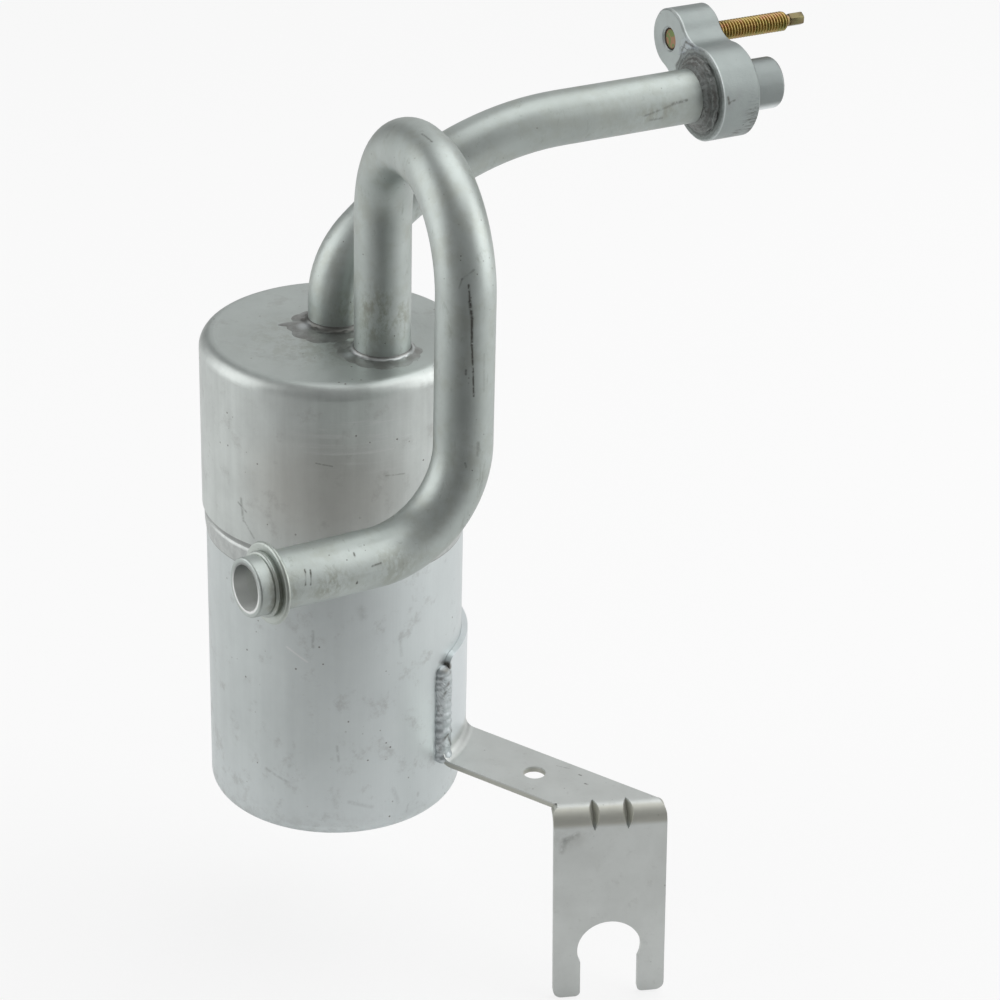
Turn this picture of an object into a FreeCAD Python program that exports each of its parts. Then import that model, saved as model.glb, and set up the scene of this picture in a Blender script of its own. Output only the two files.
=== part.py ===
import FreeCAD, Part
import math
import os

Vec = FreeCAD.Vector
UP = Vec(0, 0, 1)

# How far a cutting tool runs past the faces that it cuts, and the size of oversize blanks
tool_margin = 1.0
blank_reach = 100.0

# Canister: two drawn aluminium cups, the upper one lapped over the lower one
upper_radius = 38.1
lower_radius = 37.05
canister_height = 144.7
shell_wall = 2.0
shoulder_radius = 4.1
heel_radius = 3.6
seam_height = 92.8
lap_length = 9.0
lap_clearance = 0.05
joggle_length = 2.0
weld_foot = 8.4
weld_relief = 0.95
weld_groove = 2.2
weld_crown = 0.35
weld_brow = 1.4
weld_brow_fullness = 0.8
weld_brow_share = 0.333
weld_face_fullness = 0.333

# Tubes, both of one stock
tube_radius = 7.94
tube_wall = 1.65
tube_hole_clearance = 0.1
shortest_run = 0.001

# Outlet tube: riser, hairpin over the top, drop leg, elbow and nose
outlet_x = 13.9
outlet_y = -11.5
outlet_inner_end = 110.0
hairpin_rise = 67.8
hairpin_heading = -67.0
hairpin_span = 60.5
hairpin_bend = 27.7
elbow_height = 115.8
elbow_bend = 26.3
nose_heading = 215.0
nose_climb = 3.2
nose_reach = 66.4

# End form on the outlet nose, measured from the mouth
mouth_bore = 6.15
mouth_lip = 0.5
small_bead_start = 4.1
small_bead_width = 1.3
small_bead_radius = 8.8
big_bead_start = 5.8
big_bead_width = 1.4
big_bead_radius = 10.95
bead_collar = 0.4

# Inlet tube: short riser, first bend, climbing run, slow second bend, level run
inlet_x = 0.0
inlet_y = 7.3
inlet_inner_drop = 10.7
inlet_heading = 28.9
inlet_corner_rise = 18.1
inlet_first_bend = 24.0
inlet_level_rise = 49.6
inlet_knee_reach = 38.0
inlet_second_bend = 90.0

# Peanut block on the inlet tube
block_reach = 116.9
block_thickness = 12.9
block_big_radius = 13.9
block_small_radius = 9.05
stud_offset_side = 17.4
stud_offset_up = 11.4
waist_radius = 9.0
block_edge_break = 0.5
tube_socket_depth = 7.0
spigot_length = 12.55
spigot_radius = 7.6
spigot_neck_length = 1.6
spigot_neck_radius = 7.1
spigot_edge = 0.9
spigot_bore = 5.6

# Fixing stud, M6 coarse, with a hexagonal driving tip
stud_radius = 2.95
stud_shank_radius = 3.25
stud_shank_proud = 1.0
stud_hole_clearance = 0.05
stud_recess = 0.7
stud_hole_flare = 0.5
stud_thread_length = 27.8
stud_chamfer = 1.2
stud_end_chamfer = 0.3
stud_neck_radius = 1.6
stud_neck_length = 1.0
stud_tip_flats = 3.6
stud_tip_length = 4.6
stud_tip_chamfer = 0.5

# Brazed joints
braze_rise = 1.4
braze_spread = 1.8
braze_hollow = 0.36
braze_edge = 0.15
puddle_thickness = 0.2
block_braze_rise = 3.0
block_braze_spread = 3.2

# Bracket: saddle, arm, rolled edge and notched plate, all one pressed sheet
sheet = 1.8
saddle_radius = 37.1
saddle_from = -29.0
saddle_to = 32.0
saddle_top = 50.6
saddle_corner = 4.0
arm_top = 17.5
arm_root_bend = 2.5
arm_heading = -34.3
arm_front_offset = 1.1
arm_width = 20.5
arm_hole_radius = 3.3
arm_hole_reach = 64.2
plate_heading = 8.8
plate_x = 64.1
plate_y = -43.4
plate_width = 33.0
plate_bend = 5.5
plate_side = 0.3
plate_lean = 1.4
plate_foot = -46.4
notch_radius = 9.45
notch_height = -30.3
notch_neck = 17.0
foot_outer_radius = 2.6
foot_inner_radius = 1.6
shoulder_corner = 3.2
dart_places = (12.2, 22.0)
dart_leg = 6.6
dart_half_width = 3.0
dart_rib_spread = 1.0
root_overlap = 6.0
root_lead = 8.0

# Fillet welds down both edges of the saddle
bead_radius = 3.0
bead_scallops = 12
bead_scallop_depth = 0.3
bead_bottom = 17.6
bead_top = 46.8
bead_lag = 0.6
bead_end_ratio = 0.6
bead_first_step = 0.4
bead_sink = 0.2

# Pick-up tube inside the canister
pickup_bend = 16.0
pickup_bend_height = 34.0
pickup_open_end = 114.0
pickup_heading = 140.2
socket_length = 12.0
socket_wall = 1.5
socket_clearance = 0.05
bleed_hole_radius = 0.7

# Baffle over the open end of the pick-up tube
baffle_radius = 31.0
baffle_sheet = 1.5
baffle_skirt = 8.0
baffle_corner = 3.0
baffle_hole_clearance = 0.1

# Oil filter under the bottom of the pick-up bend
filter_radius = 10.0
filter_top = 17.0
filter_shelf = 6.8
filter_disc = 1.4
filter_floor_gap = 0.3
filter_clearance = 0.1
screen_radius = 9.0
screen_wall = 0.35
post_radius = 2.0

# Desiccant bags and their strap
bag_length = 43.0
bag_depth = 16.5
bag_height = 54.0
bag_bottom = 31.0
bag_round = 7.0
bag_clearance = 0.3
strap_thickness = 0.8
strap_height = 5.0
strap_clearance = 0.05
strap_middle = 58.0


def heading(degrees, climb=0.0):
    a = math.radians(degrees)
    c = math.radians(climb)
    return Vec(math.cos(a) * math.cos(c), math.sin(a) * math.cos(c), math.sin(c))


def save(name, shape):
    solid = shape
    if len(shape.Solids) == 1:
        solid = shape.Solids[0]
    if not solid.isValid():
        raise ValueError(name + " is not a valid solid")
    solid.exportStep(os.path.join("parts", name + ".step"))
    print(name, "solids", len(solid.Solids), "volume", round(solid.Volume, 1))
    return solid


def outline(*sides):
    """Upright face from sides of (radius, height) points: two for a straight side, three for an arc."""
    edges = []
    for side in sides:
        points = [Vec(radius, 0, height) for radius, height in side]
        if len(points) == 2:
            edges.append(Part.LineSegment(*points).toShape())
        else:
            edges.append(Part.Arc(*points).toShape())
    return Part.Face(Part.Wire(edges))


def revolved(face, centre=Vec(0, 0, 0), degrees=360.0):
    solid = face.revolve(Vec(0, 0, 0), UP, degrees)
    solid.translate(centre)
    return solid


def arc_middle(centre, radius, degrees):
    a = math.radians(degrees)
    return (centre[0] + radius * math.cos(a), centre[1] + radius * math.sin(a))


def ring_face(centre, direction, outer, inner):
    disc = Part.Face(Part.Wire(Part.makeCircle(outer, centre, direction)))
    if inner <= 0:
        return disc
    hole = Part.Face(Part.Wire(Part.makeCircle(inner, centre, direction)))
    return disc.cut(hole).Faces[0]


def bend_arc(before, corner, after, radius):
    """Start, end, axis and angle of the arc that rounds a corner of a tube's route."""
    come = (corner - before).normalize()
    go = (after - corner).normalize()
    turn = come.getAngle(go)
    setback = radius * math.tan(turn / 2)
    start = corner - come * setback
    axis = come.cross(go).normalize()
    centre = start + axis.cross(come) * radius
    return start, corner + go * setback, centre, axis, math.degrees(turn)


def bent_tube(route, bends, outer, inner):
    """A tube of straight runs joined by true arcs; route has one more corner than bends has radii."""
    pieces = []
    at = route[0]
    for k, radius in enumerate(bends):
        corner = route[k + 1]
        start, end, centre, axis, turn = bend_arc(route[k], corner, route[k + 2], radius)
        run = start - at
        if run.Length > shortest_run:
            pieces.append(ring_face(at, run, outer, inner).extrude(run))
        come = (corner - route[k]).normalize()
        pieces.append(ring_face(start, come, outer, inner).revolve(centre, axis, turn))
        at = end
    run = route[-1] - at
    pieces.append(ring_face(at, run, outer, inner).extrude(run))
    return pieces[0].multiFuse(pieces[1:]).removeSplitter()


def cylinder(radius, start, vector):
    return Part.makeCylinder(radius, vector.Length, start, vector)


# Tube routes, with their heights measured up from the canister's cover
inner_radius = tube_radius - tube_wall
hairpin_height = canister_height + hairpin_rise
inlet_corner_height = canister_height + inlet_corner_rise
inlet_level = canister_height + inlet_level_rise
nose_way = heading(nose_heading, nose_climb)
hairpin_way = heading(hairpin_heading)
riser_top = Vec(outlet_x, outlet_y, hairpin_height)
drop_top = riser_top + hairpin_way * hairpin_span
drop_foot = Vec(drop_top.x, drop_top.y, elbow_height)
mouth = drop_foot + nose_way * nose_reach
outlet_route = [Vec(outlet_x, outlet_y, outlet_inner_end), riser_top, drop_top, drop_foot, mouth]

inlet_way = heading(inlet_heading)
inlet_side = UP.cross(inlet_way)
inlet_foot = Vec(inlet_x, inlet_y, 0)
knee = inlet_foot + inlet_way * inlet_knee_reach + UP * inlet_level
block_face = inlet_foot + inlet_way * block_reach + UP * inlet_level
inlet_end = block_face + inlet_way * tube_socket_depth
inlet_corner = inlet_foot + UP * inlet_corner_height
inlet_inner_end = canister_height - inlet_inner_drop
inlet_route = [inlet_foot + UP * inlet_inner_end, inlet_corner, knee, inlet_end]


def make_upper_shell():
    r = upper_radius
    w = shell_wall
    top = canister_height
    s = shoulder_radius
    inner = s - w
    oc = (r - s, top - s)
    profile = outline(
        ((r - w, seam_height), (r, seam_height)),
        ((r, seam_height), (r, top - s)),
        ((r, top - s), arc_middle(oc, s, 45), (r - s, top)),
        ((r - s, top), (0, top)),
        ((0, top), (0, top - w)),
        ((0, top - w), (r - s, top - w)),
        ((r - s, top - w), arc_middle(oc, inner, 45), (r - w, top - s)),
        ((r - w, top - s), (r - w, seam_height)),
    )
    shell = revolved(profile)
    hole = tube_radius + tube_hole_clearance
    for x, y in ((outlet_x, outlet_y), (inlet_x, inlet_y)):
        shell = shell.cut(Part.makeCylinder(hole, 4 * w, Vec(x, y, top - 2 * w)))
    return shell


def lower_shell_profile():
    r = lower_radius
    w = shell_wall
    h = heel_radius
    neck = upper_radius - shell_wall - lap_clearance
    joggle_top = seam_height - weld_foot + 2 * joggle_length
    joggle_foot = joggle_top - joggle_length
    rim = seam_height + lap_length
    oc = (r - h, h)
    return outline(
        ((0, 0), (r - h, 0)),
        ((r - h, 0), arc_middle(oc, h, -45), (r, h)),
        ((r, h), (r, joggle_foot)),
        ((r, joggle_foot), (neck, joggle_top)),
        ((neck, joggle_top), (neck, rim)),
        ((neck, rim), (neck - w, rim)),
        ((neck - w, rim), (neck - w, joggle_top)),
        ((neck - w, joggle_top), (r - w, joggle_foot)),
        ((r - w, joggle_foot), (r - w, h)),
        ((r - w, h), arc_middle(oc, h - w, -45), (r - h, w)),
        ((r - h, w), (0, w)),
        ((0, w), (0, 0)),
    )


def make_girth_weld():
    r = lower_radius
    neck = upper_radius - shell_wall - lap_clearance
    foot = seam_height - weld_foot
    joggle_foot = foot + joggle_length
    joggle_top = joggle_foot + joggle_length
    floor = upper_radius - weld_relief
    brow = seam_height - weld_groove
    crown = (floor + weld_crown, brow - weld_brow)
    brow_middle = (floor + weld_brow_fullness * weld_crown, brow - weld_brow_share * weld_brow)
    face_middle = ((crown[0] + r) / 2 + weld_face_fullness * weld_crown, (crown[1] + foot) / 2)
    profile = outline(
        ((neck, seam_height), (floor, seam_height)),
        ((floor, seam_height), (floor, brow)),
        ((floor, brow), brow_middle, crown),
        (crown, face_middle, (r, foot)),
        ((r, foot), (r, joggle_foot)),
        ((r, joggle_foot), (neck, joggle_top)),
        ((neck, joggle_top), (neck, seam_height)),
    )
    return revolved(profile)


def nose_form():
    """The end form turned about the vertical, mouth at the origin, before it is laid along the nose."""
    r = tube_radius
    small_end = small_bead_start + small_bead_width
    big_end = big_bead_start + big_bead_width
    small_top = small_bead_start + small_bead_width / 2
    big_top = big_bead_start + big_bead_width / 2
    small_brow = small_bead_radius - small_bead_width / 2
    big_brow = big_bead_radius - big_bead_width / 2
    collar = r + bead_collar
    lip = (r - mouth_lip, mouth_lip)
    profile = outline(
        ((mouth_bore, 0), (r - mouth_lip, 0)),
        ((r - mouth_lip, 0), arc_middle(lip, mouth_lip, -45), (r, mouth_lip)),
        ((r, mouth_lip), (r, small_bead_start)),
        ((r, small_bead_start), (small_brow, small_bead_start)),
        ((small_brow, small_bead_start), (small_bead_radius, small_top), (small_brow, small_end)),
        ((small_brow, small_end), (collar, small_end)),
        ((collar, small_end), (collar, big_bead_start)),
        ((collar, big_bead_start), (big_brow, big_bead_start)),
        ((big_brow, big_bead_start), (big_bead_radius, big_top), (big_brow, big_end)),
        ((big_brow, big_end), (mouth_bore, big_end)),
        ((mouth_bore, big_end), (mouth_bore, 0)),
    )
    return revolved(profile)


def laid_along(shape, start, direction):
    turned = shape.copy()
    turned.Placement = FreeCAD.Placement(start, FreeCAD.Rotation(UP, direction))
    return turned


def make_outlet_tube():
    form_length = big_bead_start + big_bead_width
    shank_end = mouth - nose_way * form_length
    shank = bent_tube(outlet_route[:-1] + [shank_end], [hairpin_bend, hairpin_bend, elbow_bend],
                      tube_radius, inner_radius)
    return shank.fuse(laid_along(nose_form(), mouth, nose_way * -1)).removeSplitter()


def make_inlet_tube():
    return bent_tube(inlet_route, [inlet_first_bend, inlet_second_bend], tube_radius, inner_radius)


def fillet_ring(inner, rise, spread):
    """A concave fillet round a tube that stands on a flat face, about the vertical."""
    edge = braze_edge
    belly = (inner + braze_hollow * spread, braze_hollow * rise)
    profile = outline(
        ((inner, 0), (inner + spread, 0)),
        ((inner + spread, 0), (inner + spread, edge)),
        ((inner + spread, edge), belly, (inner + edge, rise)),
        ((inner + edge, rise), (inner, rise)),
        ((inner, rise), (inner, 0)),
    )
    return revolved(profile)


def make_cover_braze(x, y, spill):
    """A fillet round the tube and the pool of filler that spilled round it on the cover."""
    foot = tube_radius + braze_spread
    curve = Part.BSplineCurve()
    curve.interpolate([heading(degrees) * (foot + run) for degrees, run in spill], PeriodicFlag=True)
    pool = Part.Face(Part.Wire(curve.toShape())).extrude(UP * puddle_thickness)
    pool = pool.cut(Part.makeCylinder(tube_radius, braze_rise, UP * -tool_margin))
    joint = fillet_ring(tube_radius, braze_rise, braze_spread).fuse(pool).removeSplitter()
    joint.translate(Vec(x, y, canister_height))
    return joint


def make_block_braze():
    ring = fillet_ring(tube_radius, block_braze_rise, block_braze_spread)
    return laid_along(ring, block_face, inlet_way * -1)


def on_block(side, rise, depth):
    return block_face + inlet_side * side + UP * rise + inlet_way * depth


def peanut_face():
    """Two round lobes joined by a hollow waist arc on each side."""
    a = block_big_radius
    b = block_small_radius
    reach = math.hypot(stud_offset_side, stud_offset_up)
    tilt = math.atan2(stud_offset_up, stud_offset_side)
    # Centre of the waist arc, tangent to both lobes from outside
    p = a + waist_radius
    q = b + waist_radius
    along = (p * p - q * q + reach * reach) / (2 * reach)
    off = math.sqrt(p * p - along * along)

    def place(u, v):
        side = u * math.cos(tilt) - v * math.sin(tilt)
        rise = u * math.sin(tilt) + v * math.cos(tilt)
        return on_block(side, rise, 0)

    def touch(centre_u, radius, sign):
        du = along - centre_u
        dv = sign * off
        length = math.hypot(du, dv)
        return centre_u + du / length * radius, dv / length * radius

    a1, a2 = touch(0, a, 1), touch(0, a, -1)
    b1, b2 = touch(reach, b, 1), touch(reach, b, -1)
    inward = off - waist_radius
    edges = [
        Part.Arc(place(*a1), place(-a, 0), place(*a2)).toShape(),
        Part.Arc(place(*a2), place(along, -inward), place(*b2)).toShape(),
        Part.Arc(place(*b2), place(reach + b, 0), place(*b1)).toShape(),
        Part.Arc(place(*b1), place(along, inward), place(*a1)).toShape(),
    ]
    return Part.Face(Part.Wire(edges))


def make_inlet_block():
    body = peanut_face().extrude(inlet_way * block_thickness)
    rims = [e for e in body.Edges if abs((e.CenterOfMass - on_block(0, 0, 0)).dot(inlet_way)) < 1e-3
            or abs((e.CenterOfMass - on_block(0, 0, block_thickness)).dot(inlet_way)) < 1e-3]
    body = body.makeChamfer(block_edge_break, rims)
    neck_end = spigot_neck_length
    end = spigot_length
    edge = spigot_edge
    r = spigot_radius
    mid = arc_middle((r - edge, end - edge), edge, 45)
    profile = outline(
        ((0, -tool_margin), (spigot_neck_radius, -tool_margin)),
        ((spigot_neck_radius, -tool_margin), (spigot_neck_radius, neck_end)),
        ((spigot_neck_radius, neck_end), (r, neck_end + (r - spigot_neck_radius))),
        ((r, neck_end + (r - spigot_neck_radius)), (r, end - edge)),
        ((r, end - edge), mid, (r - edge, end)),
        ((r - edge, end), (0, end)),
        ((0, end), (0, -tool_margin)),
    )
    far = on_block(0, 0, block_thickness)
    body = body.fuse(laid_along(revolved(profile), far, inlet_way)).removeSplitter()
    m = tool_margin
    depth = block_thickness + spigot_length
    socket = tube_radius + tube_hole_clearance
    body = body.cut(cylinder(spigot_bore, on_block(0, 0, -m), inlet_way * (depth + 2 * m)))
    body = body.cut(cylinder(socket, on_block(0, 0, -m), inlet_way * (tube_socket_depth + m)))
    stud_place = (stud_offset_side, stud_offset_up)
    hole = stud_shank_radius + stud_hole_clearance
    body = body.cut(cylinder(hole, on_block(*stud_place, -m), inlet_way * (block_thickness + 2 * m)))
    flare = Part.makeCone(hole + stud_hole_flare, hole, stud_hole_flare, on_block(*stud_place, 0), inlet_way)
    return body.cut(flare)


def make_fixing_stud():
    r = stud_radius
    shank = stud_shank_radius
    e = stud_end_chamfer
    shank_end = block_thickness - stud_recess + stud_shank_proud
    thread_end = block_thickness - stud_recess + stud_thread_length
    neck_end = thread_end + stud_neck_length
    profile = outline(
        ((0, 0), (shank - e, 0)),
        ((shank - e, 0), (shank, e)),
        ((shank, e), (shank, shank_end)),
        ((shank, shank_end), (r, shank_end)),
        ((r, shank_end), (r, thread_end - stud_chamfer)),
        ((r, thread_end - stud_chamfer), (stud_neck_radius, thread_end)),
        ((stud_neck_radius, thread_end), (stud_neck_radius, neck_end)),
        ((stud_neck_radius, neck_end), (0, neck_end)),
        ((0, neck_end), (0, 0)),
    )
    body = revolved(profile)
    corner = stud_tip_flats / 2 / math.cos(math.radians(30))
    turns = [math.radians(60 * k) for k in range(7)]
    hexagon = Part.makePolygon([Vec(corner * math.cos(t), corner * math.sin(t), neck_end) for t in turns])
    tip = Part.Face(Part.Wire(hexagon)).extrude(UP * stud_tip_length)
    c = stud_tip_chamfer
    tip_end = neck_end + stud_tip_length
    envelope = revolved(outline(
        ((0, neck_end), (corner - c, neck_end)),
        ((corner - c, neck_end), (corner, neck_end + c)),
        ((corner, neck_end + c), (corner, tip_end - c)),
        ((corner, tip_end - c), (corner - c, tip_end)),
        ((corner - c, tip_end), (0, tip_end)),
        ((0, tip_end), (0, neck_end)),
    ))
    stud = body.fuse(tip.common(envelope)).removeSplitter()
    start = on_block(stud_offset_side, stud_offset_up, stud_recess)
    return laid_along(stud, start, inlet_way)


# Bracket frame: along the rolled edge, out of the plate's face, and across the arm
plate_along = heading(plate_heading)
plate_out = plate_along.cross(UP)
plate_origin = Vec(plate_x, plate_y, 0)
arm_way = heading(arm_heading)
arm_across = UP.cross(arm_way)


def on_plate(along, out, height):
    return plate_origin + plate_along * along + plate_out * out + UP * height


def polygon_face(points):
    return Part.Face(Part.makePolygon(points + [points[0]]))


def arm_strip(bottom, top):
    """Block over the arm's strip, used to trim the sheet to the arm's two parallel edges."""
    start = arm_across * arm_front_offset + UP * bottom
    end = start + arm_way * (2 * blank_reach)
    across = arm_across * arm_width
    face = polygon_face([start, end, end + across, start + across])
    return face.extrude(UP * (top - bottom))


def saddle_sector(inside, outside, bottom, top, first, last):
    profile = outline(
        ((inside, bottom), (outside, bottom)),
        ((outside, bottom), (outside, top)),
        ((outside, top), (inside, top)),
        ((inside, top), (inside, bottom)),
    )
    sector = revolved(profile, degrees=last - first)
    sector.rotate(Vec(0, 0, 0), UP, first)
    return sector


def make_saddle():
    inside = saddle_radius
    outside = inside + sheet
    bend_top = arm_top + arm_root_bend
    wall = saddle_sector(inside, outside, bend_top, saddle_top, saddle_from, saddle_to)
    ends = [e for e in wall.Edges if e.BoundBox.ZMin > saddle_top - sheet and e.Length < 2 * sheet]
    wall = wall.makeFillet(saddle_corner, ends)
    centre = (outside + arm_root_bend, bend_top)
    under = arm_root_bend + sheet
    flange = centre[0] + root_overlap
    profile = outline(
        ((inside, bend_top), arc_middle(centre, under, 225), (centre[0], arm_top - sheet)),
        ((centre[0], arm_top - sheet), (flange, arm_top - sheet)),
        ((flange, arm_top - sheet), (flange, arm_top)),
        ((flange, arm_top), (centre[0], arm_top)),
        ((centre[0], arm_top), arc_middle(centre, arm_root_bend, 225), (outside, bend_top)),
        ((outside, bend_top), (inside, bend_top)),
    )
    first = saddle_from - root_lead
    root = revolved(profile, degrees=saddle_to - first)
    root.rotate(Vec(0, 0, 0), UP, first)
    root = root.common(arm_strip(arm_top - 2 * sheet, bend_top))
    return wall.fuse(root)


def plate_front_face():
    """Front outline of the plate with its keyhole notch, drawn upright and then leaned."""
    left = plate_side
    right = plate_side + plate_width
    mid = (left + right) / 2
    top = arm_top + tool_margin
    foot = plate_foot
    ro = foot_outer_radius
    ri = foot_inner_radius
    half = notch_neck / 2
    drop = math.sqrt(notch_radius ** 2 - half ** 2)
    c = notch_height
    neck_top = c - drop
    s = shoulder_corner
    k = math.sqrt(0.5)

    def p(x, z):
        return on_plate(x, 0, z)

    def corner(cx, cz, r, a0, a1):
        angles = [math.radians(a) for a in (a0, (a0 + a1) / 2, a1)]
        return Part.Arc(*[p(cx + r * math.cos(t), cz + r * math.sin(t)) for t in angles]).toShape()

    def side(x0, z0, x1, z1):
        return Part.LineSegment(p(x0, z0), p(x1, z1)).toShape()

    edges = [
        side(left + s, top, right - s, top),
        side(right - s, top, right - s, arm_top),
        Part.Arc(p(right - s, arm_top), p(right - s + s * k, arm_top - s + s * k),
                 p(right, arm_top - s)).toShape(),
        side(right, arm_top - s, right, foot + ro),
        corner(right - ro, foot + ro, ro, 0, -90),
        side(right - ro, foot, mid + half + ri, foot),
        corner(mid + half + ri, foot + ri, ri, 270, 180),
        side(mid + half, foot + ri, mid + half, neck_top),
        Part.Arc(p(mid + half, neck_top), p(mid, c + notch_radius), p(mid - half, neck_top)).toShape(),
        side(mid - half, neck_top, mid - half, foot + ri),
        corner(mid - half - ri, foot + ri, ri, 0, -90),
        side(mid - half - ri, foot, left + ro, foot),
        corner(left + ro, foot + ro, ro, 270, 180),
        side(left, foot + ro, left, arm_top - s / 2),
        Part.Arc(p(left, arm_top - s / 2), p(left + s * (1 - k) / 2, arm_top - s * (1 - k) / 2),
                 p(left + s / 2, arm_top)).toShape(),
        side(left + s / 2, arm_top, left + s / 2, top),
        side(left + s / 2, top, left + s, top),
    ]
    face = Part.Face(Part.Wire(Part.__sortEdges__(edges)))
    face.rotate(on_plate(mid, 0, arm_top - plate_bend), plate_out, plate_lean)
    return face


def rolled_sheet():
    """Arm sheet, rolled edge and plate as one bent strip, much wider than the bracket."""
    ro = plate_bend
    ri = plate_bend - sheet
    k = math.sqrt(0.5)
    low = plate_foot - blank_reach / 10
    back = -blank_reach
    zc = arm_top - ro

    def p(out, z):
        return on_plate(-blank_reach, out, z)

    edges = [
        Part.LineSegment(p(back, arm_top), p(0, arm_top)).toShape(),
        Part.Arc(p(0, arm_top), p(ro * k, zc + ro * k), p(ro, zc)).toShape(),
        Part.LineSegment(p(ro, zc), p(ro, low)).toShape(),
        Part.LineSegment(p(ro, low), p(ri, low)).toShape(),
        Part.LineSegment(p(ri, low), p(ri, zc)).toShape(),
        Part.Arc(p(ri, zc), p(ri * k, zc + ri * k), p(0, zc + ri)).toShape(),
        Part.LineSegment(p(0, zc + ri), p(back, zc + ri)).toShape(),
        Part.LineSegment(p(back, zc + ri), p(back, arm_top)).toShape(),
    ]
    return Part.Face(Part.Wire(edges)).extrude(plate_along * (2 * blank_reach))


def dart_wedge(place, leg, half_width, inset):
    """Four-cornered wedge whose inner edge runs straight across the rolled edge."""
    corner_out = plate_bend - inset
    corner_height = arm_top - inset
    a = on_plate(place, corner_out - leg, corner_height)
    b = on_plate(place, corner_out, corner_height - leg)
    c = on_plate(place - half_width, corner_out, corner_height)
    d = on_plate(place + half_width, corner_out, corner_height)
    faces = [polygon_face(list(t)) for t in ((a, b, c), (a, d, b), (a, c, d), (b, d, c))]
    return Part.makeSolid(Part.makeShell(faces))


def make_bracket():
    wide = rolled_sheet()
    far = blank_reach
    low = arm_top - 2 * sheet
    corners = ((-far, -far), (far, -far), (far, far), (-far, far))
    middle = polygon_face([on_plate(x, 0, z) for x, z in corners])
    behind = middle.extrude(plate_out * -far)
    start = saddle_radius + sheet + arm_root_bend
    arm = wide.common(behind).common(arm_strip(low, arm_top + tool_margin))
    arm = arm.cut(Part.makeCylinder(start, 4 * sheet, UP * low))
    front = plate_front_face().extrude(plate_out * (plate_bend + tool_margin))
    plate = wide.common(front)
    body = make_saddle().multiFuse([arm, plate])
    skin = sheet / 3
    inner_side = polygon_face([on_plate(0, out, z) for out, z in
                               ((-plate_width, arm_top - skin), (-plate_width, -plate_width),
                                (plate_bend - skin, -plate_width), (plate_bend - skin, arm_top - plate_bend),
                                (0, arm_top - skin))]).extrude(plate_along * plate_width)
    for place in dart_places:
        rib = dart_wedge(place, dart_leg + 2 * sheet, dart_half_width + dart_rib_spread, 0)
        body = body.fuse(rib.common(inner_side))
        body = body.cut(dart_wedge(place, dart_leg, dart_half_width, 0))
    hole_centre = arm_way * arm_hole_reach + arm_across * (arm_front_offset + arm_width / 2)
    body = body.cut(Part.makeCylinder(arm_hole_radius, 4 * sheet, hole_centre + UP * low))
    return body.removeSplitter()


def make_bracket_weld(azimuth, bracket):
    """A scalloped bead that fills the corner between the saddle's edge and the canister."""
    count = bead_scallops
    step = (bead_top - bead_bottom) / count
    r = bead_radius
    valley = r - bead_scallop_depth
    tip = valley * bead_end_ratio
    low = bead_bottom + step * bead_first_step
    sides = [((0, bead_bottom), (tip, bead_bottom)), ((tip, bead_bottom), (valley, low))]
    for k in range(count - 1):
        high = low + step
        sides.append(((valley, low), (r, (low + high) / 2), (valley, high)))
        low = high
    sides.append(((valley, low), (tip, bead_top)))
    sides.append(((tip, bead_top), (0, bead_top)))
    sides.append(((0, bead_top), (0, bead_bottom)))
    centre = heading(azimuth) * (saddle_radius - bead_sink)
    bead = revolved(outline(*sides), centre)
    return bead.cut(Part.makeCylinder(lower_radius, seam_height)).cut(bracket)


def make_pickup_tube():
    a = Vec(outlet_x, outlet_y, 0)
    b = a + heading(pickup_heading) * (2 * pickup_bend)
    bottom = pickup_bend_height - pickup_bend
    socket_bottom = outlet_inner_end - socket_clearance
    route = [a + UP * socket_bottom, a + UP * bottom, b + UP * bottom, b + UP * pickup_open_end]
    tube = bent_tube(route, [pickup_bend, pickup_bend], tube_radius, inner_radius)
    bore = tube_radius + socket_clearance
    sleeve = ring_face(a + UP * (socket_bottom - socket_wall), UP, bore + socket_wall, inner_radius)
    sleeve = sleeve.extrude(UP * (socket_length + socket_wall))
    sleeve = sleeve.cut(Part.makeCylinder(bore, socket_length + tool_margin, a + UP * socket_bottom))
    tube = tube.fuse(sleeve).removeSplitter()
    middle = (a + b) * 0.5
    below = middle + UP * (bottom - tube_radius - tool_margin)
    return tube.cut(Part.makeCylinder(bleed_hole_radius, tube_wall + 2 * tool_margin, below))


def make_baffle():
    w = baffle_sheet
    r = baffle_radius
    under = outlet_inner_end - socket_clearance + socket_length
    s = baffle_corner
    oc = (r - s, under + w - s)
    profile = outline(
        ((0, under), (r - s, under)),
        ((r - s, under), arc_middle(oc, s - w, 45), (r - w, under + w - s)),
        ((r - w, under + w - s), (r - w, under - baffle_skirt)),
        ((r - w, under - baffle_skirt), (r, under - baffle_skirt)),
        ((r, under - baffle_skirt), (r, under + w - s)),
        ((r, under + w - s), arc_middle(oc, s, 45), (r - s, under + w)),
        ((r - s, under + w), (0, under + w)),
        ((0, under + w), (0, under)),
    )
    cap = revolved(profile)
    hole = tube_radius + baffle_hole_clearance
    start = Vec(outlet_x, outlet_y, under - tool_margin)
    return cap.cut(Part.makeCylinder(hole, w + 2 * tool_margin, start))


# Middle of the pick-up bend, which carries the oil filter and the bags
pickup_way = heading(pickup_heading)
pickup_middle = Vec(outlet_x, outlet_y, 0) + pickup_way * pickup_bend
bag_way = UP.cross(pickup_way)
floor_top = shell_wall


def make_filter_housing():
    body = Part.makeCylinder(filter_radius, filter_top - filter_shelf, pickup_middle + UP * filter_shelf)
    clear = tube_radius + filter_clearance
    centre = pickup_middle + UP * pickup_bend_height
    start = centre + pickup_way * -pickup_bend
    bend = ring_face(start, UP, clear, 0).revolve(centre, bag_way * -1, 180)
    return body.cut(bend)


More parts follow.
